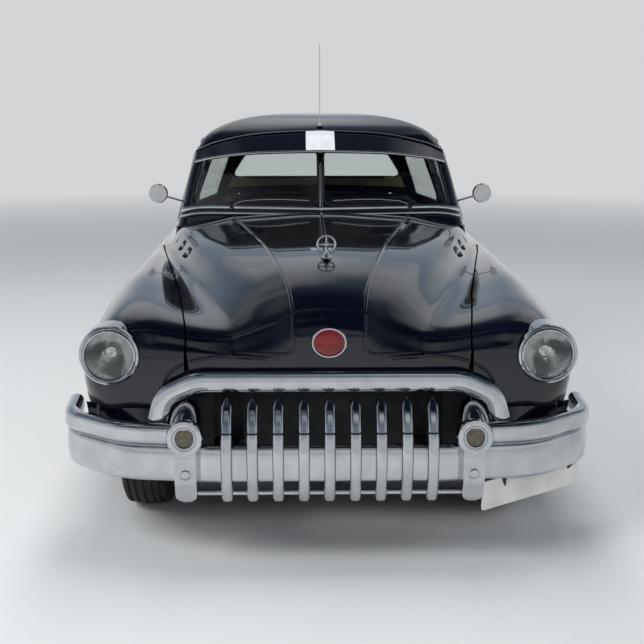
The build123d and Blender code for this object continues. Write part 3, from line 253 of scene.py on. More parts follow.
def mesh_object(name: str, points: Array, faces: list, smooth_angle: float = 35.0) -> Obj:
    """A mesh object at the origin from whole arrays, its creases kept sharp.

    Args:
        name: The piece's name.
        points: Vertices in metres, any shape that ends in 3.
        faces: Lists or arrays of vertex indices.
        smooth_angle: Edges whose faces turn by more than this many degrees stay sharp.

    Returns:
        The new object, linked to the scene.
    """
    mesh = bpy.data.meshes.new(name)
    polygons = [face for block in faces for face in np.asarray(block).tolist()]
    mesh.from_pydata(points.reshape(-1, 3).tolist(), [], polygons)
    mesh.validate()
    obj = link(name, mesh)
    soften(obj, smooth_angle)
    return obj


def soften(obj: Obj, degrees: float = 35.0) -> None:
    """Shades a mesh smooth, with its edges over an angle left sharp.

    Args:
        obj: The mesh object.
        degrees: The angle.
    """
    mesh = obj.data
    mesh.polygons.foreach_set("use_smooth", np.ones(len(mesh.polygons), bool))
    mesh.set_sharp_from_angle(angle=math.radians(degrees))
    mesh.update()


def vertices(obj: Obj) -> Array:
    """A mesh's vertices as rows of three.

    Args:
        obj: The mesh object.

    Returns:
        The vertices in metres.
    """
    points = np.empty(len(obj.data.vertices) * 3)
    obj.data.vertices.foreach_get("co", points)
    return points.reshape(-1, 3)


def move_vertices(obj: Obj, points: Array) -> None:
    """Puts a mesh's vertices on new places."""
    obj.data.vertices.foreach_set("co", points.ravel())
    obj.data.update()


def facing_out(obj: Obj) -> Obj:
    """Turns a closed piece's faces outwards if its volume comes out negative.

    Args:
        obj: The closed piece.

    Returns:
        The same piece.
    """
    mesh = obj.data
    mesh.calc_loop_triangles()
    corners = np.empty(len(mesh.loop_triangles) * 3, int)
    mesh.loop_triangles.foreach_get("vertices", corners)
    a, b, c = vertices(obj)[corners.reshape(-1, 3)].transpose(1, 0, 2)
    if np.sum(a * np.cross(b, c)) < 0:
        mesh.flip_normals()
    return obj


def area(outline: Array) -> float:
    """Twice an outline's area, positive when it runs anticlockwise."""
    after = np.roll(outline, -1, 0)
    return float(np.sum(outline[:, 0] * after[:, 1] - after[:, 0] * outline[:, 1]))


class View(Enum):
    """The view of a flat outline: which of x, station and height its two columns and its level are."""

    SIDE = (1, 2, 0)
    PLAN = (0, 1, 2)
    FRONT = (0, 2, 1)


@dataclass(frozen=True)
class Prism:
    """A cutter: an outline in one view, in millimetres, carried along the view's own axis.

    SIDE outlines are (station, height) and run along X, PLAN ones are (x, station) and run
    along Z, and FRONT ones are (x, height) and run along the car's stations.
    """

    view: View
    outline: Array | list
    low: float = -WIDE
    high: float = WIDE

    def mesh(self) -> Obj:
        """The closed prism as a mesh."""
        outline = np.asarray(self.outline, float)
        if (area(outline) < 0) != (self.view is View.FRONT):
            outline = outline[::-1]
        n = len(outline)
        ends = np.empty((2, n, 3))
        for end, level in zip(ends, (self.low, self.high)):
            end[:, list(self.view.value)] = np.column_stack([outline, np.full(n, level)])
        i = np.arange(n)
        sides = np.stack([i, (i + 1) % n, (i + 1) % n + n, i + n], -1)
        return mesh_object("cutter", spot(*ends.reshape(-1, 3).T), [sides, [i[::-1]], [i + n]])


def rect(x0: float, y0: float, x1: float, y1: float) -> list[tuple[float, float]]:
    """The outline of a box between two corners."""
    return [(x0, y0), (x1, y0), (x1, y1), (x0, y1)]


def circle(x: float, y: float, radius: float) -> Array:
    """The outline of a circle."""
    turn = np.linspace(0, 2 * np.pi, 96, endpoint=False)
    return np.stack([x + radius * np.cos(turn), y + radius * np.sin(turn)], -1)


def grown(outline: Array | list, amount: float) -> Array:
    """An outline whose edges are moved outwards by an amount, its corners kept sharp.

    Args:
        outline: The outline in millimetres.
        amount: How far its edges move, inwards if negative.

    Returns:
        The new outline.
    """
    points = np.asarray(outline, float)
    edge = np.roll(points, -1, 0) - points
    normal = np.sign(area(points)) * np.stack([edge[:, 1], -edge[:, 0]], -1) / np.hypot(*edge.T)[:, None]
    before = np.roll(normal, 1, 0)
    return points + amount * (normal + before) / (1 + np.sum(normal * before, -1, keepdims=True))


def rounded(outline: Array | list, radius: float) -> Array:
    """An outline whose corners are replaced by parabolas that start a radius away.

    Args:
        outline: The outline in millimetres.
        radius: Distance from the corner to the parabola's ends.

    Returns:
        The new outline.
    """
    points = np.asarray(outline, float)
    before, after = np.roll(points, 1, 0) - points, np.roll(points, -1, 0) - points
    reach = np.minimum(radius, 0.45 * np.minimum(np.hypot(*before.T), np.hypot(*after.T)))[:, None]
    start, end = points + unit(before) * reach, points + unit(after) * reach
    t = np.linspace(0, 1, 8)[None, :, None]
    arcs = (1 - t) ** 2 * start[:, None] + 2 * t * (1 - t) * points[:, None] + t ** 2 * end[:, None]
    return arcs.reshape(-1, 2)


def clipped(outline: Array, lowest: float) -> Array:
    """The part of a convex-enough outline above a height.

    Args:
        outline: The outline, its second column the height.
        lowest: The height.

    Returns:
        The part's outline.
    """
    kept: list[Array] = []
    for here, after in zip(outline, np.roll(outline, -1, 0)):
        if here[1] >= lowest:
            kept.append(here)
        if (here[1] - lowest) * (after[1] - lowest) < 0:
            kept.append(here + (lowest - here[1]) / (after[1] - here[1]) * (after - here))
    return np.array(kept)


def below(outline: Array, highest: float) -> Array:
    """The part of an outline under a height."""
    return clipped(outline * (1, -1), -highest)[::-1] * (1, -1)


def window_opening(outline: list) -> Array:
    """The opening inside a door's frame, above the belt, its corners rounded."""
    return rounded(clipped(grown(outline, -45.0), WINDOW_FOOT), 26)


def both(points: list) -> Array:
    """An outline on the left joined by its mirror image on the right."""
    half = np.array(points, float)
    return np.concatenate([half, half[half[:, 0] > 0][::-1] * (-1, 1)])


def arc_line(points: list, radii: tuple[float, ...], step: float = 9.0) -> Array:
    """A line in even steps through corners rounded by arcs, each shrunk to fit its edges.

    An arc's point is the mean of its two ends about its middle, weighed by the sines of the
    angles still to turn and already turned.

    Args:
        points: The corners, with the line's two ends.
        radii: One radius for each inner corner.
        step: Distance between two points of the line.

    Returns:
        The line's points.
    """
    points = np.asarray(points, float)
    pieces = [points[:1]]
    for before, here, after, radius in zip(points, points[1:], points[2:], radii):
        shorter = min(np.hypot(*(before - here)), np.hypot(*(after - here)))
        back, on = unit(before - here), unit(after - here)
        half = math.acos(float(np.clip(-(back @ on), -1, 1))) / 2
        radius = min(radius, 0.42 * shorter / math.tan(half))
        middle = here + unit(back + on) * radius / math.cos(half)
        start, end = (here + way * radius * math.tan(half) - middle for way in (back, on))
        t = np.linspace(0, 1, 14)[:, None]
        arc = np.sin((1 - t) * 2 * half) * start + np.sin(t * 2 * half) * end
        pieces.append(middle + arc / math.sin(2 * half))
    line = np.concatenate(pieces + [points[-1:]])
    run = np.concatenate([[0], np.cumsum(np.linalg.norm(np.diff(line, axis=0), axis=1))])
    even = np.linspace(0, run[-1], int(run[-1] / step))
    return np.stack([np.interp(even, run, line[:, 0]), np.interp(even, run, line[:, 1])], -1)


def bake(obj: Obj) -> None:
    """Replaces an object's mesh by the result of its modifiers.

    Args:
        obj: The object.
    """
    depsgraph = bpy.context.evaluated_depsgraph_get()
    old, new = obj.data, bpy.data.meshes.new_from_object(obj.evaluated_get(depsgraph))
    obj.modifiers.clear()
    obj.data = new
    bpy.data.meshes.remove(old)


def discard(obj: Obj) -> None:
    """Removes a helper object with its mesh.

    Args:
        obj: The helper.
    """
    mesh = obj.data
    bpy.data.objects.remove(obj)
    bpy.data.meshes.remove(mesh)


def combine(obj: Obj, cutter: Obj, operation: str) -> None:
    """Cuts an object by a closed helper, or keeps what lies inside it, and drops the helper.

    Args:
        obj: The closed mesh that is cut.
        cutter: The helper.
        operation: DIFFERENCE or INTERSECT.
    """
    modifier = obj.modifiers.new("cut", "BOOLEAN")
    modifier.object, modifier.operation, modifier.solver = cutter, operation, "MANIFOLD"
    bake(obj)
    discard(cutter)


def shaped(obj: Obj, keep: tuple[Prism, ...] = (), cut: tuple[Prism, ...] = ()) -> Obj:
    """Keeps what lies inside each of some prisms, takes out each of some others.

    Args:
        obj: The closed mesh that is cut.
        keep: Prisms that bound it.
        cut: Prisms that are taken out.

    Returns:
        The same object.
    """
    for prisms, operation in ((keep, "INTERSECT"), (cut, "DIFFERENCE")):
        for prism in prisms:
            combine(obj, prism.mesh(), operation)
    soften(obj)
    return obj


def slab(name: str, surface: Array, thickness: float, wrap: bool = False, depth: float = 0.0) -> Obj:
    """A closed sheet of a given thickness under a surface given on a grid.

    The inner side is the surface moved against its normals, and strips close the edges.

    Args:
        name: The piece's name.
        surface: Grid of points in metres, rows by columns by 3, its normals outwards.
        thickness: Metres between the outer and inner sides.
        wrap: Whether the last column joins the first, and the last row is closed by a face.
        depth: How far the outer side lies under the surface.

    Returns:
        The sheet as an object.
    """
    rows, columns = surface.shape[:2]
    normal = normals(surface, wrap)
    count, last = rows * columns, (rows - 1) * columns

    def edge(a: Array, b: Array) -> Array:
        """Quads from one edge of the outer side to the same edge of the inner side."""
        return np.stack([a, b, b + count, a + count], -1)
    quads = grid_quads(rows, columns, wrap)
    j = np.arange(columns if wrap else columns - 1)
    k = (j + 1) % columns
    faces = [quads[:, ::-1], quads + count, edge(j, k)]
    if wrap:
        faces += [[last + j[::-1]], [last + j + count]]
    else:
        i = np.arange(rows - 1) * columns
        faces += [edge(last + k, last + j), edge(i + columns, i), edge(i + columns - 1, i + 2 * columns - 1)]
    sides = [surface - normal * depth, surface - normal * (depth + thickness)]
    return mesh_object(name, np.concatenate(sides), faces)


def tube(name: str, path: Array, width: float | Array, height: float | Array | None = None,
         closed: bool = False, sides: int = 14, up: tuple = (0.0, 0.0, 1.0)) -> Obj:
    """A bar of oval section along a path.

    Each ring is the path's point plus the oval's cosine along the cross direction and its
    sine along the up direction, both square to the path.

    Args:
        name: The piece's name.
        path: Points in metres.
        width: Radius across, in metres, one or one per point.
        height: Radius along the up direction, the width if left out.
        closed: Whether the path joins up.
        sides: Points round a ring.
        up: Direction that the height follows.

    Returns:
        The closed bar.
    """
    along = unit(np.roll(path, -1, 0) - np.roll(path, 1, 0) if closed else np.gradient(path, axis=0))
    across = unit(np.cross(along, np.array(up)))
    turn = np.linspace(0, 2 * np.pi, sides, endpoint=False)[None, :, None]
    wide, tall = (np.broadcast_to(np.asarray(v, float), (len(path),))[:, None, None]
                  for v in (width, width if height is None else height))
    points = (path[:, None] + wide * np.cos(turn) * across[:, None]
              + tall * np.sin(turn) * np.cross(across, along)[:, None])
    if closed:
        return mesh_object(name, points, [grid_quads(len(path) + 1, sides, True) % (len(path) * sides)])
    return mesh_object(name, points, capped(len(path), sides))


def turned(name: str, profile: Array | list, centre: Array | tuple, axis: tuple = (0, -1, 0),
           stretch: tuple = (1, 1), count: int = 64) -> Obj:
    """A piece turned about an axis.

    Args:
        name: The piece's name.
        profile: Rows of radius and distance along the axis in millimetres, from pole to pole.
        centre: The axis' origin in metres.
        axis: The direction that the distance grows in.
        stretch: Factors for the two directions square to the axis.
        count: Points round the axis.

    Returns:
        The closed piece: its first and last rows close on the axis in a fan, or in a ring.
    """
    profile, centre, axis = np.asarray(profile, float) * MM, np.asarray(centre), unit(np.asarray(axis, float))
    side = unit(np.cross((0, 0, 1) if abs(axis[2]) < 0.9 else (1, 0, 0), axis))
    turn = np.linspace(0, 2 * np.pi, count, endpoint=False)[:, None]
    round_ = np.cos(turn) * side * stretch[0] + np.sin(turn) * np.cross(axis, side) * stretch[1]
    poles = profile[:, 0] < 1e-7
    body = profile[~poles]
    points = (centre + body[:, 1, None, None] * axis + body[:, 0, None, None] * round_).reshape(-1, 3)
    number, last = len(points), len(points) - count
    faces: list = [grid_quads(len(body), count, True)[:, ::-1]]
    j = np.arange(count)
    k = (j + 1) % count
    if not poles[0] and not poles[-1]:
        faces.append(np.stack([last + k, last + j, j, k], -1))
    if poles[0]:
        faces.append(np.stack([np.full(count, number), k, j], -1))
    if poles[-1]:
        faces.append(np.stack([np.full(count, number + poles[0]), last + j, last + k], -1))
    points = np.concatenate([points, centre + profile[poles][:, 1, None] * axis])
    return facing_out(mesh_object(name, points, faces))


def plate(name: str, outline: Array | list, view: View, low: float, high: float, bevel: float = 2.0) -> Obj:
    """A flat piece from an outline in one view, its edges rounded by a bevel.

    Args:
        name: The piece's name.
        outline: Its outline in millimetres.
        view: The view of the outline.
        low: Where it starts along the view's own axis.
        high: Where it ends.
        bevel: Width of the rounded edge in millimetres, none if 0.

    Returns:
        The piece.
    """
    obj = facing_out(Prism(view, outline, low, high).mesh())
    obj.name = name
    if bevel:
        modifier = obj.modifiers.new("edges", "BEVEL")
        modifier.width, modifier.segments, modifier.limit_method = bevel * MM, 3, "ANGLE"
        modifier.angle_limit = math.radians(50)
        bake(obj)
    soften(obj, 40)
    return obj


def joined(name: str, pieces: list[Obj]) -> Obj:
    """Several meshes as one piece, and the meshes dropped.

    Args:
        name: The piece's name.
        pieces: The mesh objects.

    Returns:
        The piece.
    """
    starts = np.cumsum([0] + [len(piece.data.vertices) for piece in pieces])
    points = np.concatenate([vertices(piece) for piece in pieces])
    polygons = [[int(start) + v for v in polygon.vertices]
                for start, piece in zip(starts, pieces) for polygon in piece.data.polygons]
    for piece in pieces:
        discard(piece)
    mesh = bpy.data.meshes.new(name)
    mesh.from_pydata(points.tolist(), [], polygons)
    obj = link(name, mesh)
    soften(obj, 40)
    return obj


@dataclass
class BodySurface:
    """The smooth lower body: its section table read by monotone curves, corners rounded."""

    fractions: tuple[float, ...] = (0.85, 0.95, 0.6, 0.7, 0.22, 0.6)
    per_corner: int = 9
    per_edge: int = 3
    nose: float = 168.0
    tail: float = 5116.0

    def sections(self, stations: Array) -> Array:
        """Whole sections from the right sill over the top to the left sill.

        Near the nose and the tail the table is read by the square root of the distance from
        the end, so that the ends come out round.

        Args:
            stations: Where the sections stand.

        Returns:
            A grid of points, one row per station.
        """
        def stretch(s: Array) -> Array:
            """The stations' place on the stretched scale."""
            return np.sqrt(np.clip(s - self.nose, 0, None)) - np.sqrt(np.clip(self.tail - s, 0, None))
        rows = monotone(stretch(stations), stretch(BODY_ROWS[:, 0]), BODY_ROWS[:, 1:])
        x = np.concatenate([rows[:, 0:12:2], np.zeros((len(rows), 1))], 1)
        z = np.concatenate([rows[:, 1:12:2], rows[:, 12:13]], 1)
        x = np.concatenate([-x, x[:, -2::-1]], 1)
        z = np.concatenate([z, z[:, -2::-1]], 1)
        weights = corner_weights(self.fractions + self.fractions[-2::-1], self.per_corner, self.per_edge)
        return spot(x @ weights.T, stations[:, None], z @ weights.T)

    def front(self, rear: float, step: float = 22.0) -> Array:
        """The surface from the middle of the nose's face back to a station.

        Args:
            rear: The station.
            step: Distance between two sections.

        Returns:
            A grid of points.
        """
        ease = np.linspace(0, 1, 22) ** 2
        body = self.sections(np.concatenate([172 + ease * 128, np.arange(300 + step, rear + 1, step)]))
        return np.concatenate([self.end_face(body[0], 640.0), body])

    def rear(self, front: float, step: float = 22.0) -> Array:
        """The surface from a station back to the middle of the tail's face.

        Args:
            front: The station.
            step: Distance between two sections.

        Returns:
            A grid of points.
        """
        ease = 1 - np.linspace(1, 0, 22) ** 2
        body = self.sections(np.concatenate([np.arange(front, 5000, step), 5000 + ease * 112]))
        return np.concatenate([body, self.end_face(body[-1], 520.0)[::-1]])

    def core(self, stations: Array, inset: float) -> Obj:
        """The closed body between two stations, set in by some metres, flat underneath.

        Args:
            stations: Where its sections stand.
            inset: How far it is set in.

        Returns:
            The body as a cutter.
        """
        grid = self.sections(stations)[:, ::-1]
        outwards = unit(normals(grid) * (1, 0, 1))
        faces = capped(*grid.shape[:2], flip=True)
        return facing_out(mesh_object("body_core", grid - outwards * inset, faces))

    def end_face(self, ring: Array, foot: float, rows: int = 9) -> Array:
        """Rows that close an end: the last section shrunk towards a point on its foot."""
        centre = np.array([0.0, ring[0, 1], foot * MM])
        return centre + (ring[None] - centre) * np.linspace(0.03, 1, rows, endpoint=False)[:, None, None]


@dataclass
class GlasshouseSurface:
    """The smooth glasshouse: its outline table read by height, domed at the top."""

    fractions: tuple[float, ...] = (0.18, 0.95, 0.8)
    per_corner: int = 12
    per_edge: int = 8
    crown: float = 1602.0
    apex: float = 1604.5

    def outlines(self, heights: Array) -> Array:
        """Whole outlines, from the front round the right side, the rear and the left.

        Args:
            heights: Where the outlines lie. The table is read by the square root of the
                distance under the apex.

        Returns:
            A grid of points, one row per height.
        """
        def stretch(h: Array) -> Array:
            """The heights' place on the stretched scale."""
            return -np.sqrt(np.clip(self.apex - h, 0, None))
        rows = monotone(stretch(heights), stretch(GLASSHOUSE_ROWS[:, 0]), GLASSHOUSE_ROWS[:, 1:])
        zero = np.zeros((len(rows), 1))
        x = np.concatenate([zero, -rows[:, [1, 3, 5]], zero, rows[:, [5, 3, 1]], zero], 1)
        y = rows[:, [0, 2, 4, 6, 7, 6, 4, 2, 0]]
        fractions = self.fractions + (0.9,) + self.fractions[::-1]
        weights = corner_weights(fractions, self.per_corner, self.per_edge)[:-1]
        return spot(x @ weights.T, y @ weights.T, heights[:, None])

    def surface(self, low: float = 950.0) -> Array:
        """The surface from a height up to the apex, its dome a parabola of the radius.

        Args:
            low: The height.

        Returns:
            A grid of points.
        """
        ease = 1 - np.linspace(1, 0, 34) ** 2
        body = self.outlines(np.concatenate([np.arange(low, 1440, 14), 1440 + ease * (self.crown - 1440)]))
        centre = np.array([0.0, body[-1, :, 1].mean(), self.apex * MM])
        share = np.linspace(1, 0.02, 10)[1:, None, None]
        dome = centre + (body[-1:] - centre) * share
        dome[..., 2] = self.apex * MM - (self.apex - self.crown) * MM * share[..., 0] ** 2
        return np.concatenate([body, dome])

    def solid(self, inset: float) -> Obj:
        """The closed glasshouse, set in by some metres, as a cutter.

        Args:
            inset: How far it is set in.

        Returns:
            The cutter.
        """
        surface = self.surface()
        return mesh_object("glasshouse_cutter", surface - normals(surface, True) * inset,
                           capped(*surface.shape[:2], flip=True))


def mirrored_piece(obj: Obj) -> Obj:
    """The mirror image of a left piece across the middle of the car, named for the right.

    Args:
        obj: The left piece.

    Returns:
        The right piece.
    """
    twin = link(obj.name.replace("left", "right"), obj.data.copy())
    move_vertices(twin, vertices(twin) * (-1, 1, 1))
    twin.data.flip_normals()
    return twin


def srgb(code: str) -> tuple[float, float, float, float]:
    """Linear colour of an sRGB hex code.

    Args:
        code: The hex code.

    Returns:
        Red, green, blue and alpha from 0 to 1.
    """
    values = np.array([int(code[i:i + 2], 16) for i in (1, 3, 5)]) / 255
    linear = np.where(values <= 0.04045, values / 12.92, ((values + 0.055) / 1.055) ** 2.4)
    return (*linear.tolist(), 1.0)


def add_node(tree: Tree, kind: str, inputs: dict | None = None, **settings) -> Node:
    """Adds a shader node.

    Args:
        tree: The material's node tree.
        kind: The node's type without its common prefix.
        inputs: Socket name or number to a value or to the socket that feeds it.
        settings: Properties of the node.

    Returns:
        The new node.
    """
    new = tree.nodes.new(f"ShaderNode{kind}")
    for name, value in settings.items():
        setattr(new, name, value)
    for key, value in (inputs or {}).items():
        if isinstance(value, Socket):
            tree.links.new(value, new.inputs[key])
        else:
            new.inputs[key].default_value = value
    return new


def noise(tree: Tree, size: float, detail: float = 3.0) -> Socket:
    """Noise in the object's own metres, with blotches of about a given size."""
    place = add_node(tree, "TexCoord").outputs["Object"]
    return add_node(tree, "TexNoise", {"Vector": place, "Scale": 1 / size, "Detail": detail}).outputs[0]


def remap(tree: Tree, value: Socket, source: tuple, target: tuple = (0.0, 1.0)) -> Socket:
    """A value's range turned into another range."""
    return add_node(tree, "MapRange", dict(enumerate((value, *source, *target)))).outputs[0]


def blend(tree: Tree, share: Socket, first: Socket | str, second: Socket | str) -> Socket:
    """One colour blended into another by a share."""
    first, second = (srgb(colour) if isinstance(colour, str) else colour for colour in (first, second))
    return add_node(tree, "Mix", {0: share, 6: first, 7: second}, data_type="RGBA").outputs[2]


def calculate(tree: Tree, first: Socket, second: Socket, operation: str) -> Socket:
    """Two values made one, such as their product or the greater of them."""
    return add_node(tree, "Math", {0: first, 1: second}, operation=operation).outputs[0]


def empty_tree(owner: bpy.types.Material | bpy.types.World) -> Tree:
    """The emptied node tree of a new material or world.

    Args:
        owner: The material or world.

    Returns:
        Its node tree.
    """
    owner.use_nodes = True
    owner.node_tree.nodes.clear()
    return owner.node_tree


@dataclass(frozen=True)
class Finish:
    """A finish made by one shader, with fine variation of colour and gloss.

    Attributes:
        name: What the finish is.
        slot: The frame's material slot that it fills.
        colour: Its main colour.
        worn: The colour that it drifts to in blotches.
        roughness: Least and most roughness.
        metallic: Whether it is bare metal.
        coat: Weight of the clear coat.
        blotch: Size of the blotches in metres.
        grain: Size of the fine bumps in metres.
        depth: Height of the fine bumps in metres.
    """

    name: str
    slot: str
    colour: str
    worn: str
    roughness: tuple[float, float]
    metallic: float = 0.0
    coat: float = 0.0
    blotch: float = 0.15
    grain: float = 0.004
    depth: float = 0.0002
    ior: float = 1.5

    def shader(self, tree: Tree) -> Node:
        """The surface shader of the finish.

        Args:
            tree: The material's node tree.

        Returns:
            The shader's node.
        """
        share = remap(tree, noise(tree, self.blotch), (0.35, 0.7))
        gloss = remap(tree, noise(tree, self.blotch * 0.4, 5.0), (0.3, 0.7), self.roughness)
        bump = add_node(tree, "Bump", {"Height": noise(tree, self.grain, 2.0), "Strength": 1.0,
                                       "Distance": self.depth})
        return add_node(tree, "BsdfPrincipled", {
            "Base Color": blend(tree, share, self.colour, self.worn), "Roughness": gloss,
            "Metallic": self.metallic, "IOR": self.ior, "Specular IOR Level": 0.5 - 0.35 * self.coat,
            "Coat Weight": self.coat, "Coat Roughness": 0.02, "Normal": bump.outputs[0]})

    def material(self) -> bpy.types.Material:
        """The finish's material, made once."""
        material = bpy.data.materials.get(self.name)
        if material is None:
            material = bpy.data.materials.new(self.name)
            tree = empty_tree(material)
            add_node(tree, "OutputMaterial", {"Surface": self.shader(tree).outputs[0]})
        return material

    def on(self, obj: Obj) -> None:
        """Gives an object this finish alone."""
        obj.data.materials.clear()
        obj.data.materials.append(self.material())


@dataclass(frozen=True)
class Paint(Finish):
    """Deep gloss paint under a clear coat, with a breath of dust on what faces up."""

    dust: str = "#4a4c50"

    def shader(self, tree: Tree) -> Node:
        """The plain finish with dust that gathers on upward faces in blotches.

        Args:
            tree: The material's node tree.

        Returns:
            The shader's node.
        """
        base = super().shader(tree)
        normal = add_node(tree, "NewGeometry").outputs["Normal"]
        up = remap(tree, add_node(tree, "SeparateXYZ", {0: normal}).outputs[2], (0.5, 1.0))
        patches = remap(tree, noise(tree, 0.35, 6.0), (0.4, 0.75), (0.0, 0.035))
        share = calculate(tree, up, patches, "MULTIPLY")
        clean = base.inputs["Base Color"].links[0].from_socket
        tree.links.new(blend(tree, share, clean, self.dust), base.inputs["Base Color"])
        return base


@dataclass(frozen=True)
class Glass(Finish):
    """Clear glass that lets light through to what lies behind it."""

    def shader(self, tree: Tree) -> Node:
        """A glass shader that throws no hard shadow, with faint smears.

        Args:
            tree: The material's node tree.

        Returns:
            The shader's node.
        """
        gloss = remap(tree, noise(tree, self.blotch, 5.0), (0.4, 0.7), self.roughness)
        pane = add_node(tree, "BsdfPrincipled", {
            "Base Color": srgb(self.colour), "Roughness": gloss, "IOR": self.ior, "Transmission Weight": 1.0})
        clear = add_node(tree, "BsdfTransparent", {"Color": srgb(self.worn)})
        shadow = add_node(tree, "LightPath").outputs["Is Shadow Ray"]
        return add_node(tree, "MixShader", {0: shadow, 1: pane.outputs[0], 2: clear.outputs[0]})


# Each finish: what it is, its slot, its colour and worn colour, least and most roughness
PAINT = Paint("navy-black gloss paint", "body_paint", "#03060f", "#060a17", (0.10, 0.16), coat=1.0,
              blotch=0.4, grain=0.006, depth=0.00002)
CHROME = Finish("bright chrome plate", "chrome", "#c8cacc", "#b8bbbf", (0.03, 0.10), 1.0, blotch=0.08,
                grain=0.01, depth=0.00003)
STAINLESS = Finish("polished stainless trim", "chrome", "#c4c6c8", "#b2b5b8", (0.12, 0.22), 1.0, blotch=0.05)
CLEAR_GLASS = Glass("clear safety glass", "window_glass", "#f2f7f5", "#e6efec", (0.0, 0.03), blotch=0.25)
LAMP_GLASS = Glass("pressed lamp glass", "lamp_glass", "#f7f8f5", "#f0f2ee", (0.0, 0.02), blotch=0.03)
SMOKY_LENS = Finish("smoky grey-amber lens", "lamp_glass", "#5a5145", "#463e33", (0.08, 0.16), coat=1.0,
                    blotch=0.015)
RED_LENS = Finish("ruby red tail lens", "tail_lens", "#7a0608", "#5e0406", (0.06, 0.12), coat=0.8,
                  blotch=0.02)
RUBBER = Finish("black tyre rubber", "tyre", "#17181a", "#232426", (0.62, 0.78), blotch=0.06, grain=0.002,
                depth=0.0004)
SEAL = Finish("soft black seal rubber", "underbody_black", "#0d0d0e", "#161617", (0.6, 0.75), blotch=0.05)
FRAME_BLACK = Finish("dusty underbody black", "underbody_black", "#15161a", "#2b2a28", (0.55, 0.8),
                     blotch=0.12, depth=0.0006)
IRON = Finish("oily cast iron", "cast_iron", "#2a2c2d", "#3b3733", (0.45, 0.7), 0.6, blotch=0.05,
              depth=0.0008)
PIPE_STEEL = Finish("heat-stained exhaust steel", "exhaust_steel", "#6b6058", "#4a3a2e", (0.4, 0.65), 0.8,
                    blotch=0.08)
DASH_PAINT = Paint("dash top paint", "dash_paint", "#0a0c12", "#0d1017", (0.25, 0.35), coat=0.5)
WHEEL_PLASTIC = Finish("moulded wheel plastic", "steering_plastic", "#0b0b0d", "#141416", (0.18, 0.3),
                       coat=0.4, blotch=0.03)
SEAT_CLOTH = Finish("dark woven seat cloth", "seat_cloth", "#22211f", "#2d2b28", (0.8, 0.95), blotch=0.02,
                    grain=0.0015, depth=0.0006)
HEADLINING = Finish("cream wool headlining", "seat_cloth", "#b7a98d", "#a59778", (0.85, 0.95), blotch=0.1,
                    grain=0.002, depth=0.0004)
CARD_VINYL = Finish("grey-brown door card vinyl", "seat_cloth", "#3a3632", "#46413b", (0.5, 0.65),
                    blotch=0.05, grain=0.0015, depth=0.0004)
SILVERED = Finish("silvered mirror glass", "chrome", "#dfe3e5", "#d4d9dc", (0.01, 0.03), 1.0, blotch=0.05,
                  grain=0.02, depth=0.00001)
ENAMEL = Paint("deep red enamel", "body_paint", "#7a0810", "#56060b", (0.05, 0.12), coat=1.0, blotch=0.03)
# A pale non-metal plate: its colour is a painted reflection that stands in for the bright sky seen in a
# chrome plate
PALE_PLATE_PAINTED_REFLECTION = Finish("silver enamelled plate", "chrome", "#d3d6d9", "#c3c7cb", (0.2, 0.3), coat=0.8,
                       blotch=0.05, depth=0.00003)
PLATE_ENAMEL = Finish("white plate enamel", "body_paint", "#d8d8d2", "#c6c5bd", (0.3, 0.45), coat=0.3,
                      blotch=0.08)
BOWL = Finish("aluminised lamp bowl", "chrome", "#d2d4d6", "#c2c5c8", (0.06, 0.12), 1.0, blotch=0.02,
              depth=0.00002)
DIAL = Finish("cream dial face", "dash_paint", "#b5ab92", "#a39a80", (0.4, 0.5), blotch=0.03)

# The frame's nodes by finish, where a star stands for left and right
NODE_FINISHES: dict[Finish, str] = {
    CHROME: "front_bumper grille_teeth grille_header headlamps bonnet_brightwork rear_bumper door_mirror_* "
            "front_wheel_* rear_wheel_* aerial",
    PAINT: "sun_visor side_frame_* bonnet boot_lid roof scuttle rear_body front_wing_* front_door_* "
           "rear_door_*",
    CLEAR_GLASS: "windscreen_glass rear_window_glass front_door_glass_* rear_door_glass_*",
    LAMP_GLASS: "lamp_lenses",
    RED_LENS: "tail_lamps",
    RUBBER: "front_tyre_* rear_tyre_*",
    FRAME_BLACK: "chassis_frame floor engine_bay front_suspension rear_axle fuel_tank front_knuckle_*",
    IRON: "engine_block",
    PIPE_STEEL: "exhaust",
    DASH_PAINT: "dashboard",
    WHEEL_PLASTIC: "steering_wheel",
    SEAT_CLOTH: "front_seat rear_seat",
}


def dress_frame(frame: dict) -> None:
    """Gives every node of the frame its own finish and soft shading.
    """
    for finish, names in NODE_FINISHES.items():
        for name in names.split():
            for full in sorted({name.replace("*", hand) for _, hand in HANDS}):
                node = frame["nodes"][full]
                finish.on(node)
                soften(node, 30.0)


def fit(piece: Obj, finish: Finish, body: str = "car_body", node: str = "") -> Obj:
    """Gives a piece its finish, and lets it ride on a body.

    Args:
        piece: The piece.
        finish: Its finish.
        body: The body that carries it.
        node: The frame's node that it takes the place of, if any.

    Returns:
        The piece.
    """
    finish.on(piece)
    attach(piece, body)
    if node:
        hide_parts(node)
    LOG.info("%s rides on %s", piece.name, body)
    return piece


def fit_pair(piece: Obj, finish: Finish, body: str = "car_body", node: str = "") -> None:
    """Fits a left piece, and its mirror image on the right, with right for left in each name.

    Args:
        piece: The left piece.
        finish: The finish of both.
        body: The body that carries the left piece.
        node: The frame's node that the left piece takes the place of, if any.
    """
    twin = mirrored_piece(piece)
    fit(piece, finish, body, node)
    fit(twin, finish, body.replace("left", "right"), node.replace("left", "right"))


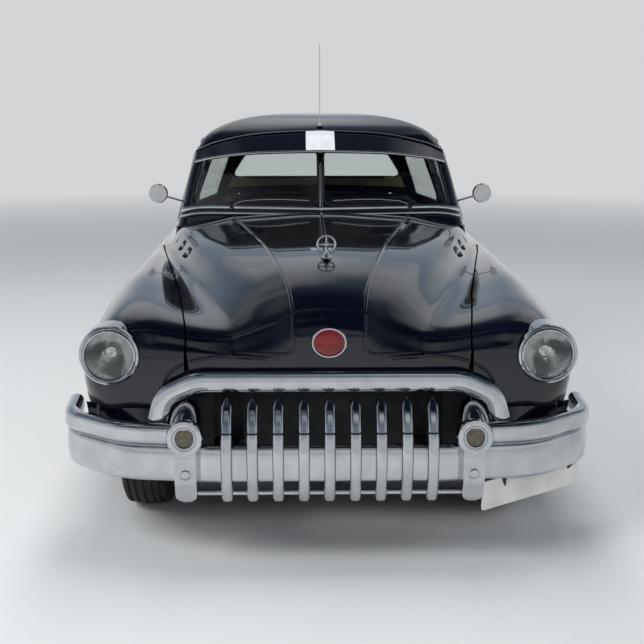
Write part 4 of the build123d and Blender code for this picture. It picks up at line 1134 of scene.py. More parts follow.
@dataclass
class Studio:
    """Camera, soft lights and a pale sweep of floor, none of them part of the car."""

    lens: float = 65.84
    eye: tuple[float, float, float] = (-0.101, -6.634, 1.78)
    tilt: float = 78.46
    turn: float = -1.014
    floor_colour: str = "#d5d6d6"
    backdrop_colour: str = "#d3d5d7"
    sky_colour: str = "#93a3b4"
    floor_radius: float = 19.0
    wall_radius: float = 24.0
    wall_height: float = 10.0

    def build(self) -> None:
        """Sets up camera, world, floor and lights."""
        bpy.context.scene.view_settings.view_transform = "Standard"
        for make in (self.camera, self.world, self.sweep, self.lights):
            make()

    def camera(self) -> None:
        """The photo's camera: at eye height before the car, a little right of its middle."""
        data = bpy.data.cameras.new("camera")
        data.lens, data.sensor_width, data.clip_end = self.lens, 36.0, 200.0
        camera = link("camera", data)
        camera.location = self.eye
        camera.rotation_euler = (math.radians(self.tilt), 0.0, math.radians(self.turn))
        bpy.context.scene.camera = camera

    def world(self) -> None:
        """A pale sky with soft clouds, darker overhead, the same to every ray."""
        world = bpy.data.worlds.new("pale sky")
        tree = empty_tree(world)
        way = add_node(tree, "TexCoord").outputs["Generated"]
        share = remap(tree, add_node(tree, "SeparateXYZ", {0: way}).outputs[2], (0.35, 0.85))
        sky = blend(tree, share, "#9fb0c2", "#1c2430")
        puffs = add_node(tree, "TexNoise", {"Vector": way, "Scale": 1.9, "Detail": 4.0}).outputs[0]
        sky = blend(tree, remap(tree, puffs, (0.5, 0.66), (0.0, 0.9)), sky, "#f1f4f7")
        light = add_node(tree, "Background", {"Color": sky, "Strength": 0.75})
        add_node(tree, "OutputWorld", {"Surface": light.outputs[0]})
        bpy.context.scene.world = world

    def sweep(self) -> None:
        """A round floor that runs up into a wall, as pale in metal, glass and paint as to the eye."""
        bend = np.linspace(0, np.pi / 2, 14)[1:]
        rise = self.wall_radius - self.floor_radius
        flat, curve = np.linspace(0.02, self.floor_radius, 12), self.floor_radius + rise * np.sin(bend)
        radius = np.concatenate([flat, curve, [self.wall_radius]])[:, None]
        z = np.concatenate([0 * flat, rise - rise * np.cos(bend), [self.wall_height]])[:, None]
        turn = np.linspace(0, 2 * np.pi, 96, endpoint=False)
        points = np.stack([radius * np.cos(turn), radius * np.sin(turn), z + 0 * turn], -1)
        floor = mesh_object("studio_floor", points, [grid_quads(len(z), 96, True), [np.arange(96)]])
        material = bpy.data.materials.new("pale studio floor")
        tree = empty_tree(material)
        ray = add_node(tree, "LightPath").outputs
        place = add_node(tree, "TexCoord").outputs["Object"]
        height = add_node(tree, "SeparateXYZ", {0: place}).outputs[2]
        speckle = remap(tree, noise(tree, 0.02), (0.3, 0.7), (0.0, 0.06))
        lit = add_node(tree, "BsdfDiffuse", {"Color": blend(tree, speckle, self.floor_colour, "#9a9b9c")})
        wall = blend(tree, remap(tree, height, (1.0, 8.0)), "#23282e", self.sky_colour)
        backdrop = blend(tree, remap(tree, height, (5.0, 9.5)), self.backdrop_colour, self.sky_colour)
        direct = calculate(tree, ray["Is Camera Ray"], ray["Is Glossy Ray"], "MAXIMUM")
        direct = calculate(tree, direct, ray["Is Transmission Ray"], "MAXIMUM")
        glow = add_node(tree, "Emission", {"Color": blend(tree, direct, wall, backdrop), "Strength": 1.0})
        reach = add_node(tree, "VectorMath", {0: place}, operation="LENGTH").outputs["Value"]
        share = add_node(tree, "Mix", {0: direct, 2: remap(tree, height, (0.0, 2.0)),
                                       3: remap(tree, reach, (4.5, 13.0))}).outputs[0]
        surface = add_node(tree, "MixShader", {0: share, 1: lit.outputs[0], 2: glow.outputs[0]})
        add_node(tree, "OutputMaterial", {"Surface": surface.outputs[0]})
        floor.data.materials.append(material)

    def lights(self) -> None:
        """Large soft panels: one overhead, one on each side and two before the car."""
        # name, place, target, width, depth, watts
        panels = (
            ("key", (-4.5, -6.0, 5.5), (0, -1.0, 0.7), 3.4, 2.2, 330),
            ("overhead", (0, 0.5, 6.0), (0, 0.5, 0), 2.2, 7.0, 260),
            ("right_side", (-7.5, 0.0, 3.2), (0, 0, 0.8), 8.0, 1.4, 190),
            ("left_side", (7.5, 0.0, 3.2), (0, 0, 0.8), 8.0, 1.4, 160),
            ("front", (1.5, -9.5, 3.6), (0, -2.0, 0.6), 6.0, 1.0, 170),
        )
        for name, place, target, width, depth, watts in panels:
            data = bpy.data.lights.new(name, "AREA")
            data.shape, data.size, data.size_y, data.energy = "RECTANGLE", width, depth, watts
            light = link(name, data)
            light.location = place
            light.visible_camera = light.visible_glossy = light.visible_transmission = False
            aim = np.array(target) - np.array(place)
            flat = math.hypot(aim[0], aim[1])
            turn = math.atan2(-aim[0], aim[1]) if flat > 1e-6 else 0.0
            light.rotation_euler = (math.atan2(flat, -aim[2]), 0.0, turn)


def door_cuts() -> tuple[Prism, ...]:
    """The openings of all doors, through both sides of the car."""
    return tuple(Prism(View.SIDE, grown(outline, PANEL_GAP)) for _, outline in DOORS)


def screen_cuts(pane: Array) -> tuple[Prism, ...]:
    """The openings of both windscreen panes, from the left one's outline, and of the rear window."""
    return (Prism(View.FRONT, pane, 1600, 2450), Prism(View.FRONT, pane * (-1, 1), 1600, 2450),
            Prism(View.FRONT, rounded(REAR_WINDOW, 70), 3300, LONG))


@dataclass
class Panels:
    """The painted shell: smooth sheets, parted along the real seams."""

    body: BodySurface = field(default_factory=BodySurface)
    house: GlasshouseSurface = field(default_factory=GlasshouseSurface)
    thickness: float = 0.008

    def build(self) -> None:
        """Builds every panel, in place of its plain counterpart in the frame."""
        for make in (self.front, self.splash_aprons, self.doors, self.roof, self.rear, self.wheel_wells):
            make()

    def panel(self, name: str, surface: Array, keep: tuple[Prism, ...] = (), cut: tuple[Prism, ...] = (),
              hollow: float = 0.0) -> Obj:
        """A panel of the lower body.

        Args:
            name: The panel's name.
            surface: Grid of its surface.
            keep: Prisms that bound it.
            cut: Prisms that are taken out.
            hollow: How far inside the roof's skin it is cut away, in metres, not at all if 0.

        Returns:
            The panel.
        """
        sheet = shaped(slab(name, surface, self.thickness), keep, cut)
        if hollow:
            combine(sheet, self.house.solid(hollow), "DIFFERENCE")
            soften(sheet)
        return sheet

    def front(self) -> None:
        """Bonnet, wings and scuttle from one sheet over the front."""
        surface = self.body.front(2150)[:, ::-1]
        mouth = Prism(View.FRONT, both(MOUTH), 60, 520)
        (x0, s0), (x1, s1) = BONNET_EDGE[-2:]
        slope = (x1 - x0) / (s1 - s0)
        inner = [(x - SIDE_GAP, s) for x, s in BONNET_EDGE if s < BONNET_REAR]
        inner.append((x0 + slope * (BONNET_REAR - s0) - SIDE_GAP, BONNET_REAR))
        under = np.concatenate([NOSE_EDGE - (SIDE_GAP, 0), [(WIDE, 857), (WIDE, 600)]])
        bonnet = self.panel("bonnet_skin", surface, (Prism(View.PLAN, both(inner), 600, 1400),), (
            mouth, Prism(View.FRONT, under, 0, 260), Prism(View.FRONT, under * (-1, 1), 0, 260)))
        fit(bonnet, PAINT, "bonnet_lid", "bonnet")
        outer = [(x + SIDE_GAP, s) for x, s in BONNET_EDGE if s < 1985]
        outer += [(x1 + SIDE_GAP, WING_REAR), (WIDE, WING_REAR), (WIDE, 100)]
        under = np.concatenate([NOSE_EDGE + (SIDE_GAP, 0), [(0, 857), (0, 600)]])
        wing = self.panel("front_wing_skin_left", surface, (Prism(View.PLAN, outer, 100, 1400),), (
            mouth, Prism(View.FRONT, under, 0, 260),
            Prism(View.SIDE, circle(FRONT_WHEEL, WHEEL_Z, 425), 480, WIDE),
            Prism(View.FRONT, circle(HEADLAMP_X, HEADLAMP_Z, 112.5), 0, 291)))
        fit_pair(wing, PAINT, node="front_wing_left")
        cowl = both([(x0 + slope * (COWL_FRONT - s0) - SIDE_GAP, COWL_FRONT), (x1 - SIDE_GAP, 1982),
                     (WIDE, 1985), (WIDE, 2140)])
        keep = (Prism(View.PLAN, cowl, 925, 1400),)
        fit(self.panel("scuttle_skin", surface, keep, door_cuts()[:1], 0.02), PAINT, node="scuttle")

    def splash_aprons(self) -> None:
        """The dark aprons that close the gaps under the wings' lower edge and beside the radiator."""
        outline = np.array([(440, 400), (640, 400), (640, 650), (590, 700), (440, 712)])
        across = np.linspace(0, 1, 40)
        share = np.linspace(0, 1, 8)[:, None, None]
        for sign, hand in HANDS:
            baffle = plate(f"mouth_baffle_{hand}", outline * (sign, 1), View.FRONT, 330, 334, 0)
            fit(baffle, FRAME_BLACK)
            x = sign * (585 + across * 330)
            top, low = spot(x, 208 + 70 * across ** 2.2, 594), spot(x, 150 + 190 * across ** 1.6, 500)
            fit(facing_out(slab(f"splash_apron_{hand}", low + (top - low) * share, 0.003)), PAINT)

    def doors(self) -> None:
        """Door skins and window frames, and the doors' inner trim."""
        sheet = self.body.sections(np.arange(1900, 3761, 20.0))[:, ::-1]
        for end, outline in DOORS:
            leaf, side = f"{end}_door_left_leaf", Prism(View.SIDE, rounded(outline, 16), 300)
            skin = self.panel(f"{end}_door_skin_left", sheet, (side,), hollow=0.02)
            frame = shaped(slab(f"{end}_door_frame_left", self.house.surface(), 0.02, wrap=True), (side,), (
                Prism(View.SIDE, window_opening(outline), 0), Prism(View.SIDE, rect(1800, 0, 3800, 985), 0)))
            fit_pair(skin, PAINT, leaf, f"{end}_door_left")
            fit_pair(frame, PAINT, leaf)
            self.door_inside(end, outline, leaf)

    def door_inside(self, end: str, outline: list, leaf: str) -> None:
        """The painted inner box of a door with its trim card, armrest, handle and winder.

        Args:
            end: Front or rear.
            outline: The door's outline.
            leaf: The body of the left door.
        """
        box = shaped(self.body.core(np.arange(1900, 3761, 40.0), 0.009), (
            Prism(View.SIDE, below(rounded(grown(outline, -22), 16), 982), 703),))
        box.name = f"{end}_door_box_left"
        card_outline = below(rounded(grown(outline, -48), 40), 950)
        card = plate(f"{end}_door_card_left", card_outline, View.SIDE, 697, 703)
        middle = 2440.0 if end == "front" else 3270.0
        swell = 0.022 * np.sin(np.linspace(0.25, np.pi - 0.25, 20)) ** 0.4
        rest = tube(f"{end}_armrest_left", spot(686, middle + np.linspace(-150, 150, 20), 740), swell, 0.026)
        levers = []
        for station, z, reach in ((middle - 170, 838, 90), (middle + 150, 800, 110)):
            knob = [(0, 22), (12, 20), (17, 8), (19, 0), (0, 0)]
            levers.append(turned("boss", knob, spot(697, station, z), (-1, 0, 0), count=24))
            bar = np.linspace(0, reach, 10)
            levers.append(tube("bar", spot(682, station + bar, z - bar * 0.3), 0.006, 0.008))
        for piece, finish in ((box, PAINT), (card, CARD_VINYL), (rest, CARD_VINYL),
                              (joined(f"{end}_door_levers_left", levers), CHROME)):
            fit_pair(piece, finish, leaf)

    def roof(self) -> None:
        """Roof with its pillars, the screen and rear window cut through."""
        belt = Prism(View.SIDE, rect(1500, 900, 4300, 1055))
        cuts = (*door_cuts(), *screen_cuts(rounded(SCREEN, 40)), belt)
        fit(shaped(slab("roof_skin", self.house.surface(), 0.022, wrap=True), cut=cuts), PAINT, node="roof")

    def rear(self) -> None:
        """Rear wings in one piece with the tail, and the boot lid."""
        surface = self.body.rear(3300)[:, ::-1]
        lid = rounded(both(BOOT), 60)
        keep = (Prism(View.PLAN, lid, 700, 1400),)
        fit(self.panel("boot_lid_skin", surface, keep), PAINT, "boot", "boot_lid")
        cuts = (Prism(View.PLAN, grown(lid, PANEL_GAP + 1.5), 694, 1400), door_cuts()[1],
                Prism(View.SIDE, circle(REAR_WHEEL, WHEEL_Z, 392)),
                Prism(View.PLAN, rect(-WIDE, 3000, WIDE, 3482), 0, TALL),
                Prism(View.FRONT, circle(TAIL_LAMP_X, TAIL_LAMP_Z, 45.5), 5000, LONG),
                Prism(View.FRONT, circle(-TAIL_LAMP_X, TAIL_LAMP_Z, 45.5), 5000, LONG))
        fit(self.panel("rear_body_skin", surface, cut=cuts, hollow=0.022), PAINT, node="rear_body")

    def wheel_wells(self) -> None:
        """The dark sheet over each wheel, from the inner wall out to the wing, and the pans beside it."""
        turn = np.radians(np.linspace(-12, 192, 48))[:, None]
        # name, station of the wheel, radius, inner wall, first and last station
        for end, station, radius, inner, first, last in (("rear", REAR_WHEEL, 393, 556, 3460, 4441),
                                                         ("front", FRONT_WHEEL, 426, 443, 400, 1331)):
            band = spot(np.linspace(inner, 1000, 12), station + radius * np.cos(turn),
                        WHEEL_Z + radius * np.sin(turn))
            self.line_wing(facing_out(slab(f"{end}_wheel_well_left", band, 0.003)), first, last)
        # name, outline in plan, height, first and last station
        front_pan = [(640, 190), (1000, 190), (1000, 505), (443, 505), (443, 336), (640, 336)]
        for end, outline, height, first, last in (("front", front_pan, 600, 180, 531),
                                                  ("rear", rect(556, 4320, 1000, 5060), 470, 4300, 5071)):
            pan = plate(f"{end}_wing_pan_left", outline, View.PLAN, height, height + 3, 0)
            self.line_wing(pan, first, last)

    def line_wing(self, piece: Obj, first: float, last: float) -> None:
        """Trims a sheet of the left side to the inside of the body and sets it on both sides.

        Args:
            piece: The sheet.
            first: Station where the trimming body starts.
            last: Station where it ends.
        """
        combine(piece, self.body.core(np.arange(first, last, 35.0), 0.004), "INTERSECT")
        soften(piece)
        fit_pair(piece, FRAME_BLACK)


def read_rows(keys: Array, values: Array, wanted: Array) -> Array:
    """Reads each row of values where its keys, kept from falling, reach the wanted number."""
    rising = np.maximum.accumulate(keys, 1) + np.arange(keys.shape[1]) * 1e-9
    return np.array([np.interp(w, k, v) for w, k, v in zip(wanted, rising, values)])


@dataclass
class Skin:
    """Places on the painted surfaces, from millimetres to metres, for what is fixed to them."""

    body: BodySurface = field(default_factory=BodySurface)
    house: GlasshouseSurface = field(default_factory=GlasshouseSurface)

    def top(self, x: Array | float, station: Array, lift: float = 0.0) -> Array:
        """Points on the upper body over given x and station.

        Args:
            x: Distances to the left of the car's middle.
            station: Stations.
            lift: Height above the skin.

        Returns:
            The points.
        """
        rows = self.body.sections(station)
        half = rows[:, rows.shape[1] // 2:]
        x = np.broadcast_to(x, station.shape)
        z = read_rows(half[..., 0], half[..., 2], np.abs(x) * MM)
        return np.stack([x * MM, at(station), z + lift * MM], -1)

    def side(self, station: Array, z: float, lift: float = 0.0, sign: float = 1.0) -> Array:
        """Points on the body's side at a height below the wing's crest.

        Args:
            station: Stations.
            z: The height.
            lift: Distance out from the skin.
            sign: 1 for the left side, -1 for the right.

        Returns:
            The points.
        """
        rows = self.body.sections(station)
        half = rows[:, rows.shape[1] // 2:][:, ::-1][:, :38]
        x = read_rows(half[..., 2], half[..., 0], np.full(len(station), z * MM))
        return np.stack([sign * (x + lift * MM), at(station), 0 * x + z * MM], -1)

    def window(self, station: Array, z: Array, lift: float = 0.0, sign: float = 1.0) -> Array:
        """Points on the glasshouse's side at given station and height.

        Args:
            station: Stations.
            z: Heights.
            lift: Distance out from the skin.
            sign: 1 for the left side, -1 for the right.

        Returns:
            The points.
        """
        rings = self.house.outlines(z)
        half = rings[:, :rings.shape[1] // 2 + 1]
        x = read_rows(half[..., 1], -half[..., 0], at(station))
        return np.stack([sign * (x + lift * MM), at(station), z * MM], -1)

    def nose(self, x: Array, z: Array, lift: float = 0.0) -> Array:
        """Points on the nose at given x and height, found by rays along the car.

        Args:
            x: Distances to the left of the car's middle.
            z: Heights.
            lift: Distance out from the skin.

        Returns:
            The points, without those whose ray misses.
        """
        grid = self.body.front(900)
        tree = BVHTree.FromPolygons(grid.reshape(-1, 3).tolist(), grid_quads(*grid.shape[:2]).tolist())
        found = []
        for px, pz in zip(x, z):
            place, normal, _, _ = tree.ray_cast(Vector((px * MM, -4.0, pz * MM)), Vector((0, 1, 0)))
            if place is not None:
                found.append(place - normal * math.copysign(lift * MM, normal.y))
        return np.array(found)

    def screen(self, x: Array, z: Array, lift: float = 0.0, rear: bool = False) -> Array:
        """Points on the glasshouse's front or rear at given x and height.

        Args:
            x: Distances to the left of the car's middle.
            z: Heights.
            lift: Distance out from the skin.
            rear: Whether they lie on the rear.

        Returns:
            The points.
        """
        rings = self.house.outlines(z)
        half = rings[:, :rings.shape[1] // 2 + 1]
        half = half[:, ::-1][:, :40] if rear else half[:, :40]
        y = read_rows(-half[..., 0], half[..., 1], np.abs(x) * MM)
        return np.stack([x * MM, y + lift * MM if rear else y - lift * MM, z * MM], -1)


@dataclass
class Brightwork:
    """Bead lines, mouldings, visor, wipers, medallion, bumper face and the like."""

    skin: Skin = field(default_factory=Skin)
    bumper_middle: float = 415.0
    bumper_half_height: float = 69.0
    bumper_bend: float = 17.1
    tooth_pitch: float = 93.5
    plate_half: tuple[float, float] = (257.0, 55.0)
    plate_yaw: float = 36.0
    handle_height: float = 838.0
    belt_height: float = 1046.0

    def build(self) -> None:
        """Builds all the trim."""
        for make in (self.bonnet_beads, self.nose_lips, self.screen_trims, self.visor, self.wipers,
                     self.medallion, self.window_trims, self.handles, self.bumper_bolts, self.number_plate,
                     self.bumper_face, self.grille_joints, self.ornament, self.mirrors, self.drip_rails):
            make()

    def bonnet_beads(self) -> None:
        """Two raised beads down the bonnet, and the chrome spear on its middle."""
        station = np.linspace(232, 1890, 90)
        x = np.interp(station, [232, 400, 650, 1050, 1500, 2000], [133, 155, 203, 270, 360, 460])
        for sign, hand in HANDS:
            path = self.skin.top(sign * x, station, 1.0)
            fit(tube(f"bonnet_bead_{hand}", path, 0.007, 0.006), PAINT, "bonnet_lid")
        station = np.linspace(700, 1885, 50)
        width = np.interp(station, [700, 760, 1885], [0.004, 0.011, 0.008])
        fit(tube("bonnet_spear", self.skin.top(0, station, 1.0), width, 0.006), CHROME, "bonnet_lid")

    def nose_lips(self) -> None:
        """The beads' way on: down the nose, outwards over the header bar and round the mouth."""
        corners = np.array([(133, 935), (130, 800), (300, 800), (500, 782), (608, 722), (632, 600)], float)
        line = corner_weights((0.5, 0.6, 0.8, 0.9), 14, 8) @ corners
        for sign, hand in HANDS:
            for part, name, body in ((line[line[:, 0] < 518], "bonnet_lip", "bonnet_lid"),
                                     (line[line[:, 0] > 534], "wing_lip", "car_body")):
                path = self.skin.nose(sign * part[:, 0], part[:, 1], 1.0)
                fit(tube(f"{name}_{hand}", path, 0.006, 0.007, up=(0, -1.0, 0.001)), PAINT, body)

    def screen_trims(self) -> None:
        """Seals round both panes, the divider between them and the moulding along their foot."""
        pane, back = rounded(SCREEN, 40), rounded(REAR_WINDOW, 70)
        for sign, hand in HANDS:
            path = self.skin.screen(sign * pane[:, 0], pane[:, 1], 1.0)
            fit(tube(f"screen_seal_{hand}", path, 0.008, 0.007, closed=True), SEAL)
        path = self.skin.screen(back[:, 0], back[:, 1], 1.0, rear=True)
        fit(tube("rear_window_seal", path, 0.009, 0.008, closed=True), SEAL)
        z = np.linspace(1150, 1440, 14)
        fit(tube("screen_divider", self.skin.screen(0 * z, z, 6.0), 0.011, 0.008, up=(0, -1.0, 0.3)), CHROME)
        x = np.linspace(-716, 716, 90)
        z = 1149 - 18 * np.clip((np.abs(x) - 560) / 156, 0, 1) ** 2
        fit(tube("screen_foot_moulding", self.skin.screen(x, z, 6.0), 0.009, 0.013), CHROME)
        fit(tube("cowl_moulding", self.skin.screen(x, z - 26, 10.0), 0.008, 0.009), CHROME)

    def visor(self) -> None:
        """The visor's sheet and holders, the chrome lips along its edges, and its middle plate, whose pale
        colour is a painted reflection of the bright sky in chrome.
        """
        # x, low station, low z, high station, high z, from the middle to the end
        rows = np.array([(0, 2100, 1426, 2300, 1521), (300, 2118, 1418, 2296, 1506),
                         (560, 2160, 1390, 2286, 1458), (655, 2195, 1368, 2280, 1418)], float)

        def edges(x: Array) -> tuple[Array, Array]:
            """The visor's lower and upper edges over given x."""
            read = monotone(np.abs(x), rows[:, 0], rows[:, 1:]).T
            return spot(x, read[0], read[1]), spot(x, read[2], read[3])

        def sheet(name: str, foot: Array, head: Array, thickness: float) -> Obj:
            """A sheet between two edges."""
            grid = foot + (head - foot) * np.linspace(0, 1, 12)[:, None, None]
            return facing_out(slab(name, grid[:, ::-1], thickness))
        low, high = edges(np.linspace(-655, 655, 70))
        fit(sheet("visor_sheet", low, high, 0.004), PAINT, node="sun_visor")
        fit(tube("visor_lower_lip", low, 0.009, 0.008), CHROME)
        fit(tube("visor_upper_strip", high + (0, 0, 0.004), 0.010, 0.004), CHROME)
        low, high = edges(np.linspace(-75, 75, 13))
        # The middle plate's pale colour is a painted reflection of the sky in chrome, not a metal finish
        middle = sheet("visor_middle_plate", low + (0, -0.004, 0.004), high + (0, -0.003, 0.007), 0.003)
        fit(middle, PALE_PLATE_PAINTED_REFLECTION)
        arm = [(2270, 1500), (2290, 1514), (2345, 1548), (2345, 1500)]
        lug = [(2250, 1403), (2276, 1424), (2340, 1440), (2340, 1400)]
        holders = [Prism(View.SIDE, outline, start, end).mesh()
                   for outline, start, end in ((arm, -15, 15), (lug, 626, 650), (lug, -650, -626))]
        for holder in holders:
            combine(holder, self.skin.house.solid(0.001), "DIFFERENCE")
        fit(joined("visor_holders", holders), PAINT)

    def wipers(self) -> None:
        """Two wiper arms with their blades, lying along the foot of the screen."""
        x = np.array([455, 440, 400, 300, 200, 60], float)
        z = np.array([1143, 1168, 1182, 1190, 1192, 1188], float)
        knob = [(0, 26), (9, 26), (12, 18), (12, 0), (0, 0)]
        for sign, hand in HANDS:
            arm = self.skin.screen(sign * x, z, 16.0)
            arm = np.stack([np.interp(np.linspace(0, 5, 40), np.arange(6), arm[:, k]) for k in range(3)], -1)
            pivot = self.skin.screen(np.array([sign * 455.0]), np.array([1140.0]))[0]
            pieces = [tube("arm", arm, 0.004), turned("boss", knob, pivot, (0, -0.8, 0.6))]
            fit(joined(f"wiper_{hand}", pieces), CHROME)
            blade = self.skin.screen(sign * np.linspace(470, 30, 24), np.linspace(1172, 1180, 24), 12.0)
            fit(tube(f"wiper_blade_{hand}", blade, 0.003, 0.006), SEAL)

    def medallion(self) -> None:
        """A plain enamelled medallion with a chrome rim on the nose."""
        rim = [(60, 0), (60, 7), (57, 11), (52, 11), (49, 7), (49, 0)]
        dome = [(0, 9), (25, 8.4), (42, 6.8), (50, 4), (50, -3), (0, -3)]
        for name, profile, finish in (("medallion_rim", rim, CHROME), ("medallion_enamel", dome, ENAMEL)):
            fit(turned(name, profile, spot(0, 172, 842), (0, -1, 0.12), (1.12, 0.95)), finish, "bonnet_lid")

    def window_trims(self) -> None:
        """Chrome frames round the side windows and the strips along the belt under them."""
        for (end, outline), (first, last) in zip(DOORS, ((1992, 2896), (2914, 3640))):
            opening = window_opening(outline)
            for sign, hand in HANDS:
                leaf = f"{end}_door_{hand}_leaf"
                path = self.skin.window(opening[:, 0], opening[:, 1], 1.0, sign)
                fit(tube(f"{end}_window_trim_{hand}", path, 0.006, closed=True), STAINLESS, leaf)
                belt = np.linspace(first, last, 60)
                path = self.skin.window(belt, np.full(60, self.belt_height), 2.0, sign)
                fit(tube(f"{end}_belt_strip_{hand}", path, 0.005, 0.009), CHROME, leaf)

    def handles(self) -> None:
        """Door handles with push buttons, and the boot's handle."""
        rise = 0.030 * np.sin(np.linspace(0, np.pi, 24)) ** 0.45
        button = [(0, 26), (12, 25), (15, 20), (17, 0), (0, 0)]
        for end, station in (("front", 2780.0), ("rear", 3560.0)):
            for sign, hand in HANDS:
                path = self.skin.side(station + np.linspace(-85, 85, 24), self.handle_height, 0.0, sign)
                path[:, 0] += sign * rise
                foot = self.skin.side(np.array([station + 78]), self.handle_height, -4.0, sign)[0]
                pieces = [tube("grip", path, 0.009, 0.012), turned("button", button, foot, (sign, 0, 0))]
                fit(joined(f"{end}_door_handle_{hand}", pieces), CHROME, f"{end}_door_{hand}_leaf")
        grip = [(0, 30), (16, 29), (24, 22), (27, 8), (30, 0), (30, -6), (0, -6)]
        centre = self.skin.top(0, np.array([5060.0]))[0]
        fit(turned("boot_handle", grip, centre, (0, 0.75, 0.66), (1.9, 1.0)), CHROME, "boot")

    def bumper_bolts(self) -> None:
        """Domed bolts at the bumper's ends, and the eight-sided bosses on its blades."""
        head = [(0, 7), (7, 6), (11, 3), (13, 0), (13, -4), (0, -4)]
        boss = [(0, 6), (15, 6), (22, 1), (24, -4), (24, -8), (0, -8)]
        for sign, hand in HANDS:
            out = (sign * 0.62, -0.78, 0)
            fit(turned(f"bumper_bolt_{hand}", head, spot(sign * 905, 222, 405), out), CHROME)
            fit(turned(f"blade_boss_{hand}", boss, spot(sign * POD_X, 17, 391), count=8), CHROME)

    def number_plate(self) -> None:
        """The blank number plate under the bumper's left end, on its two straps."""
        x, z = self.plate_half
        blank = plate("blank_number_plate", rounded(rect(-x, -z, x, z), 12), View.FRONT, -3, 3, 1.0)
        yaw = math.radians(self.plate_yaw)
        swing = np.array([[math.cos(yaw), -math.sin(yaw), 0], [math.sin(yaw), math.cos(yaw), 0], [0, 0, 1]])
        move_vertices(blank, (vertices(blank) - spot(0, 0, 0)) @ swing.T + spot(767, 209, 287))
        fit(blank, PLATE_ENAMEL)
        straps = []
        for foot, head in (((650, 128, 300), (650, 106, 356)), ((925, 330, 300), (972, 312, 356))):
            path = spot(*np.linspace(foot, head, 4).T)
            straps.append(tube("strap", path, 0.008, 0.003, up=(0, -1.0, 0.01)))
        fit(joined("plate_straps", straps), FRAME_BLACK)

    def bumper_face(self) -> None:
        """The pressed bar's crowned face: the plain bar's own section plus a cosine of height."""
        half_height, bend = self.bumper_half_height, self.bumper_bend
        half = [(420, 72), (760, 115), (980, 300), (998, 519)]
        line = arc_line([(-x, station) for x, station in half[::-1]] + half, (300, 300, 150, 150, 300, 300))
        along = unit(np.gradient(line, axis=0))
        z = np.linspace(-half_height, half_height, 29)
        past = np.clip(np.abs(z) - 52.9, 0, bend)
        depth = 1.9 + np.sqrt(bend ** 2 - past ** 2) + 7 * np.cos(z / half_height * np.pi / 2)
        z, depth = np.append(z, [60, -60]), np.append(depth, [0, 0])
        x, station = line[:, :1] + along[:, 1:] * depth, line[:, 1:] - along[:, :1] * depth
        points = spot(x, station, self.bumper_middle + z)
        fit(facing_out(mesh_object("bumper_face", points, capped(*points.shape[:2]))), CHROME)

    def grille_joints(self) -> None:
        """A dark joint ring round each tooth, just above the bumper."""
        rings = []
        for x in self.tooth_pitch * np.arange(-4, 5):
            outline = rounded(rect(x - 21.5, 18, x + 21.5, 78), 16)
            rings.append(tube("joint", spot(*outline.T, 541), 0.0015, 0.0035, closed=True, sides=8))
        fit(joined("grille_joint_rings", rings), SEAL)

    def ornament(self) -> None:
        """The cross in the bonnet ornament's ring, on a small bullet."""
        centre = spot(0, 680, 1135)
        bars = [tube("bar", centre + np.linspace(-1, 1, 4)[:, None] * reach, 0.0035, up=(0, -1.0, 0))
                for reach in ((0.034, 0, 0), (0, 0, 0.034))]
        bars.append(turned("boss", [(0, 12), (6, 10), (10, 4), (11, -4), (0, -8)], centre, count=32))
        bullet = [(0, 62), (9, 56), (17, 42), (22, 20), (23, -10), (18, -50), (8, -84), (0, -92)]
        bars.append(turned("bullet", bullet, spot(0, 680, 1088), stretch=(1.0, 0.8), count=48))
        fit(joined("ornament_cross", bars), CHROME, "bonnet_lid")

    def mirrors(self) -> None:
        """The silvered glass in both door mirrors."""
        glass = [(0, 2), (43, 2), (45, 0), (45, -3), (0, -3)]
        for sign, hand in HANDS:
            piece = turned(f"mirror_glass_{hand}", glass, spot(sign * 843, 2108, 1210), (0, 1, 0))
            fit(piece, SILVERED, f"front_door_{hand}_leaf")

    def drip_rails(self) -> None:
        """The rain gutter over the doors on both sides."""
        station = np.linspace(2395, 3420, 70)
        z = np.interp(station, [2395, 2440, 3300, 3420], [1462, 1478, 1478, 1440])
        for sign, hand in HANDS:
            fit(tube(f"drip_rail_{hand}", self.skin.window(station, z, 1.0, sign), 0.006, 0.004), PAINT)


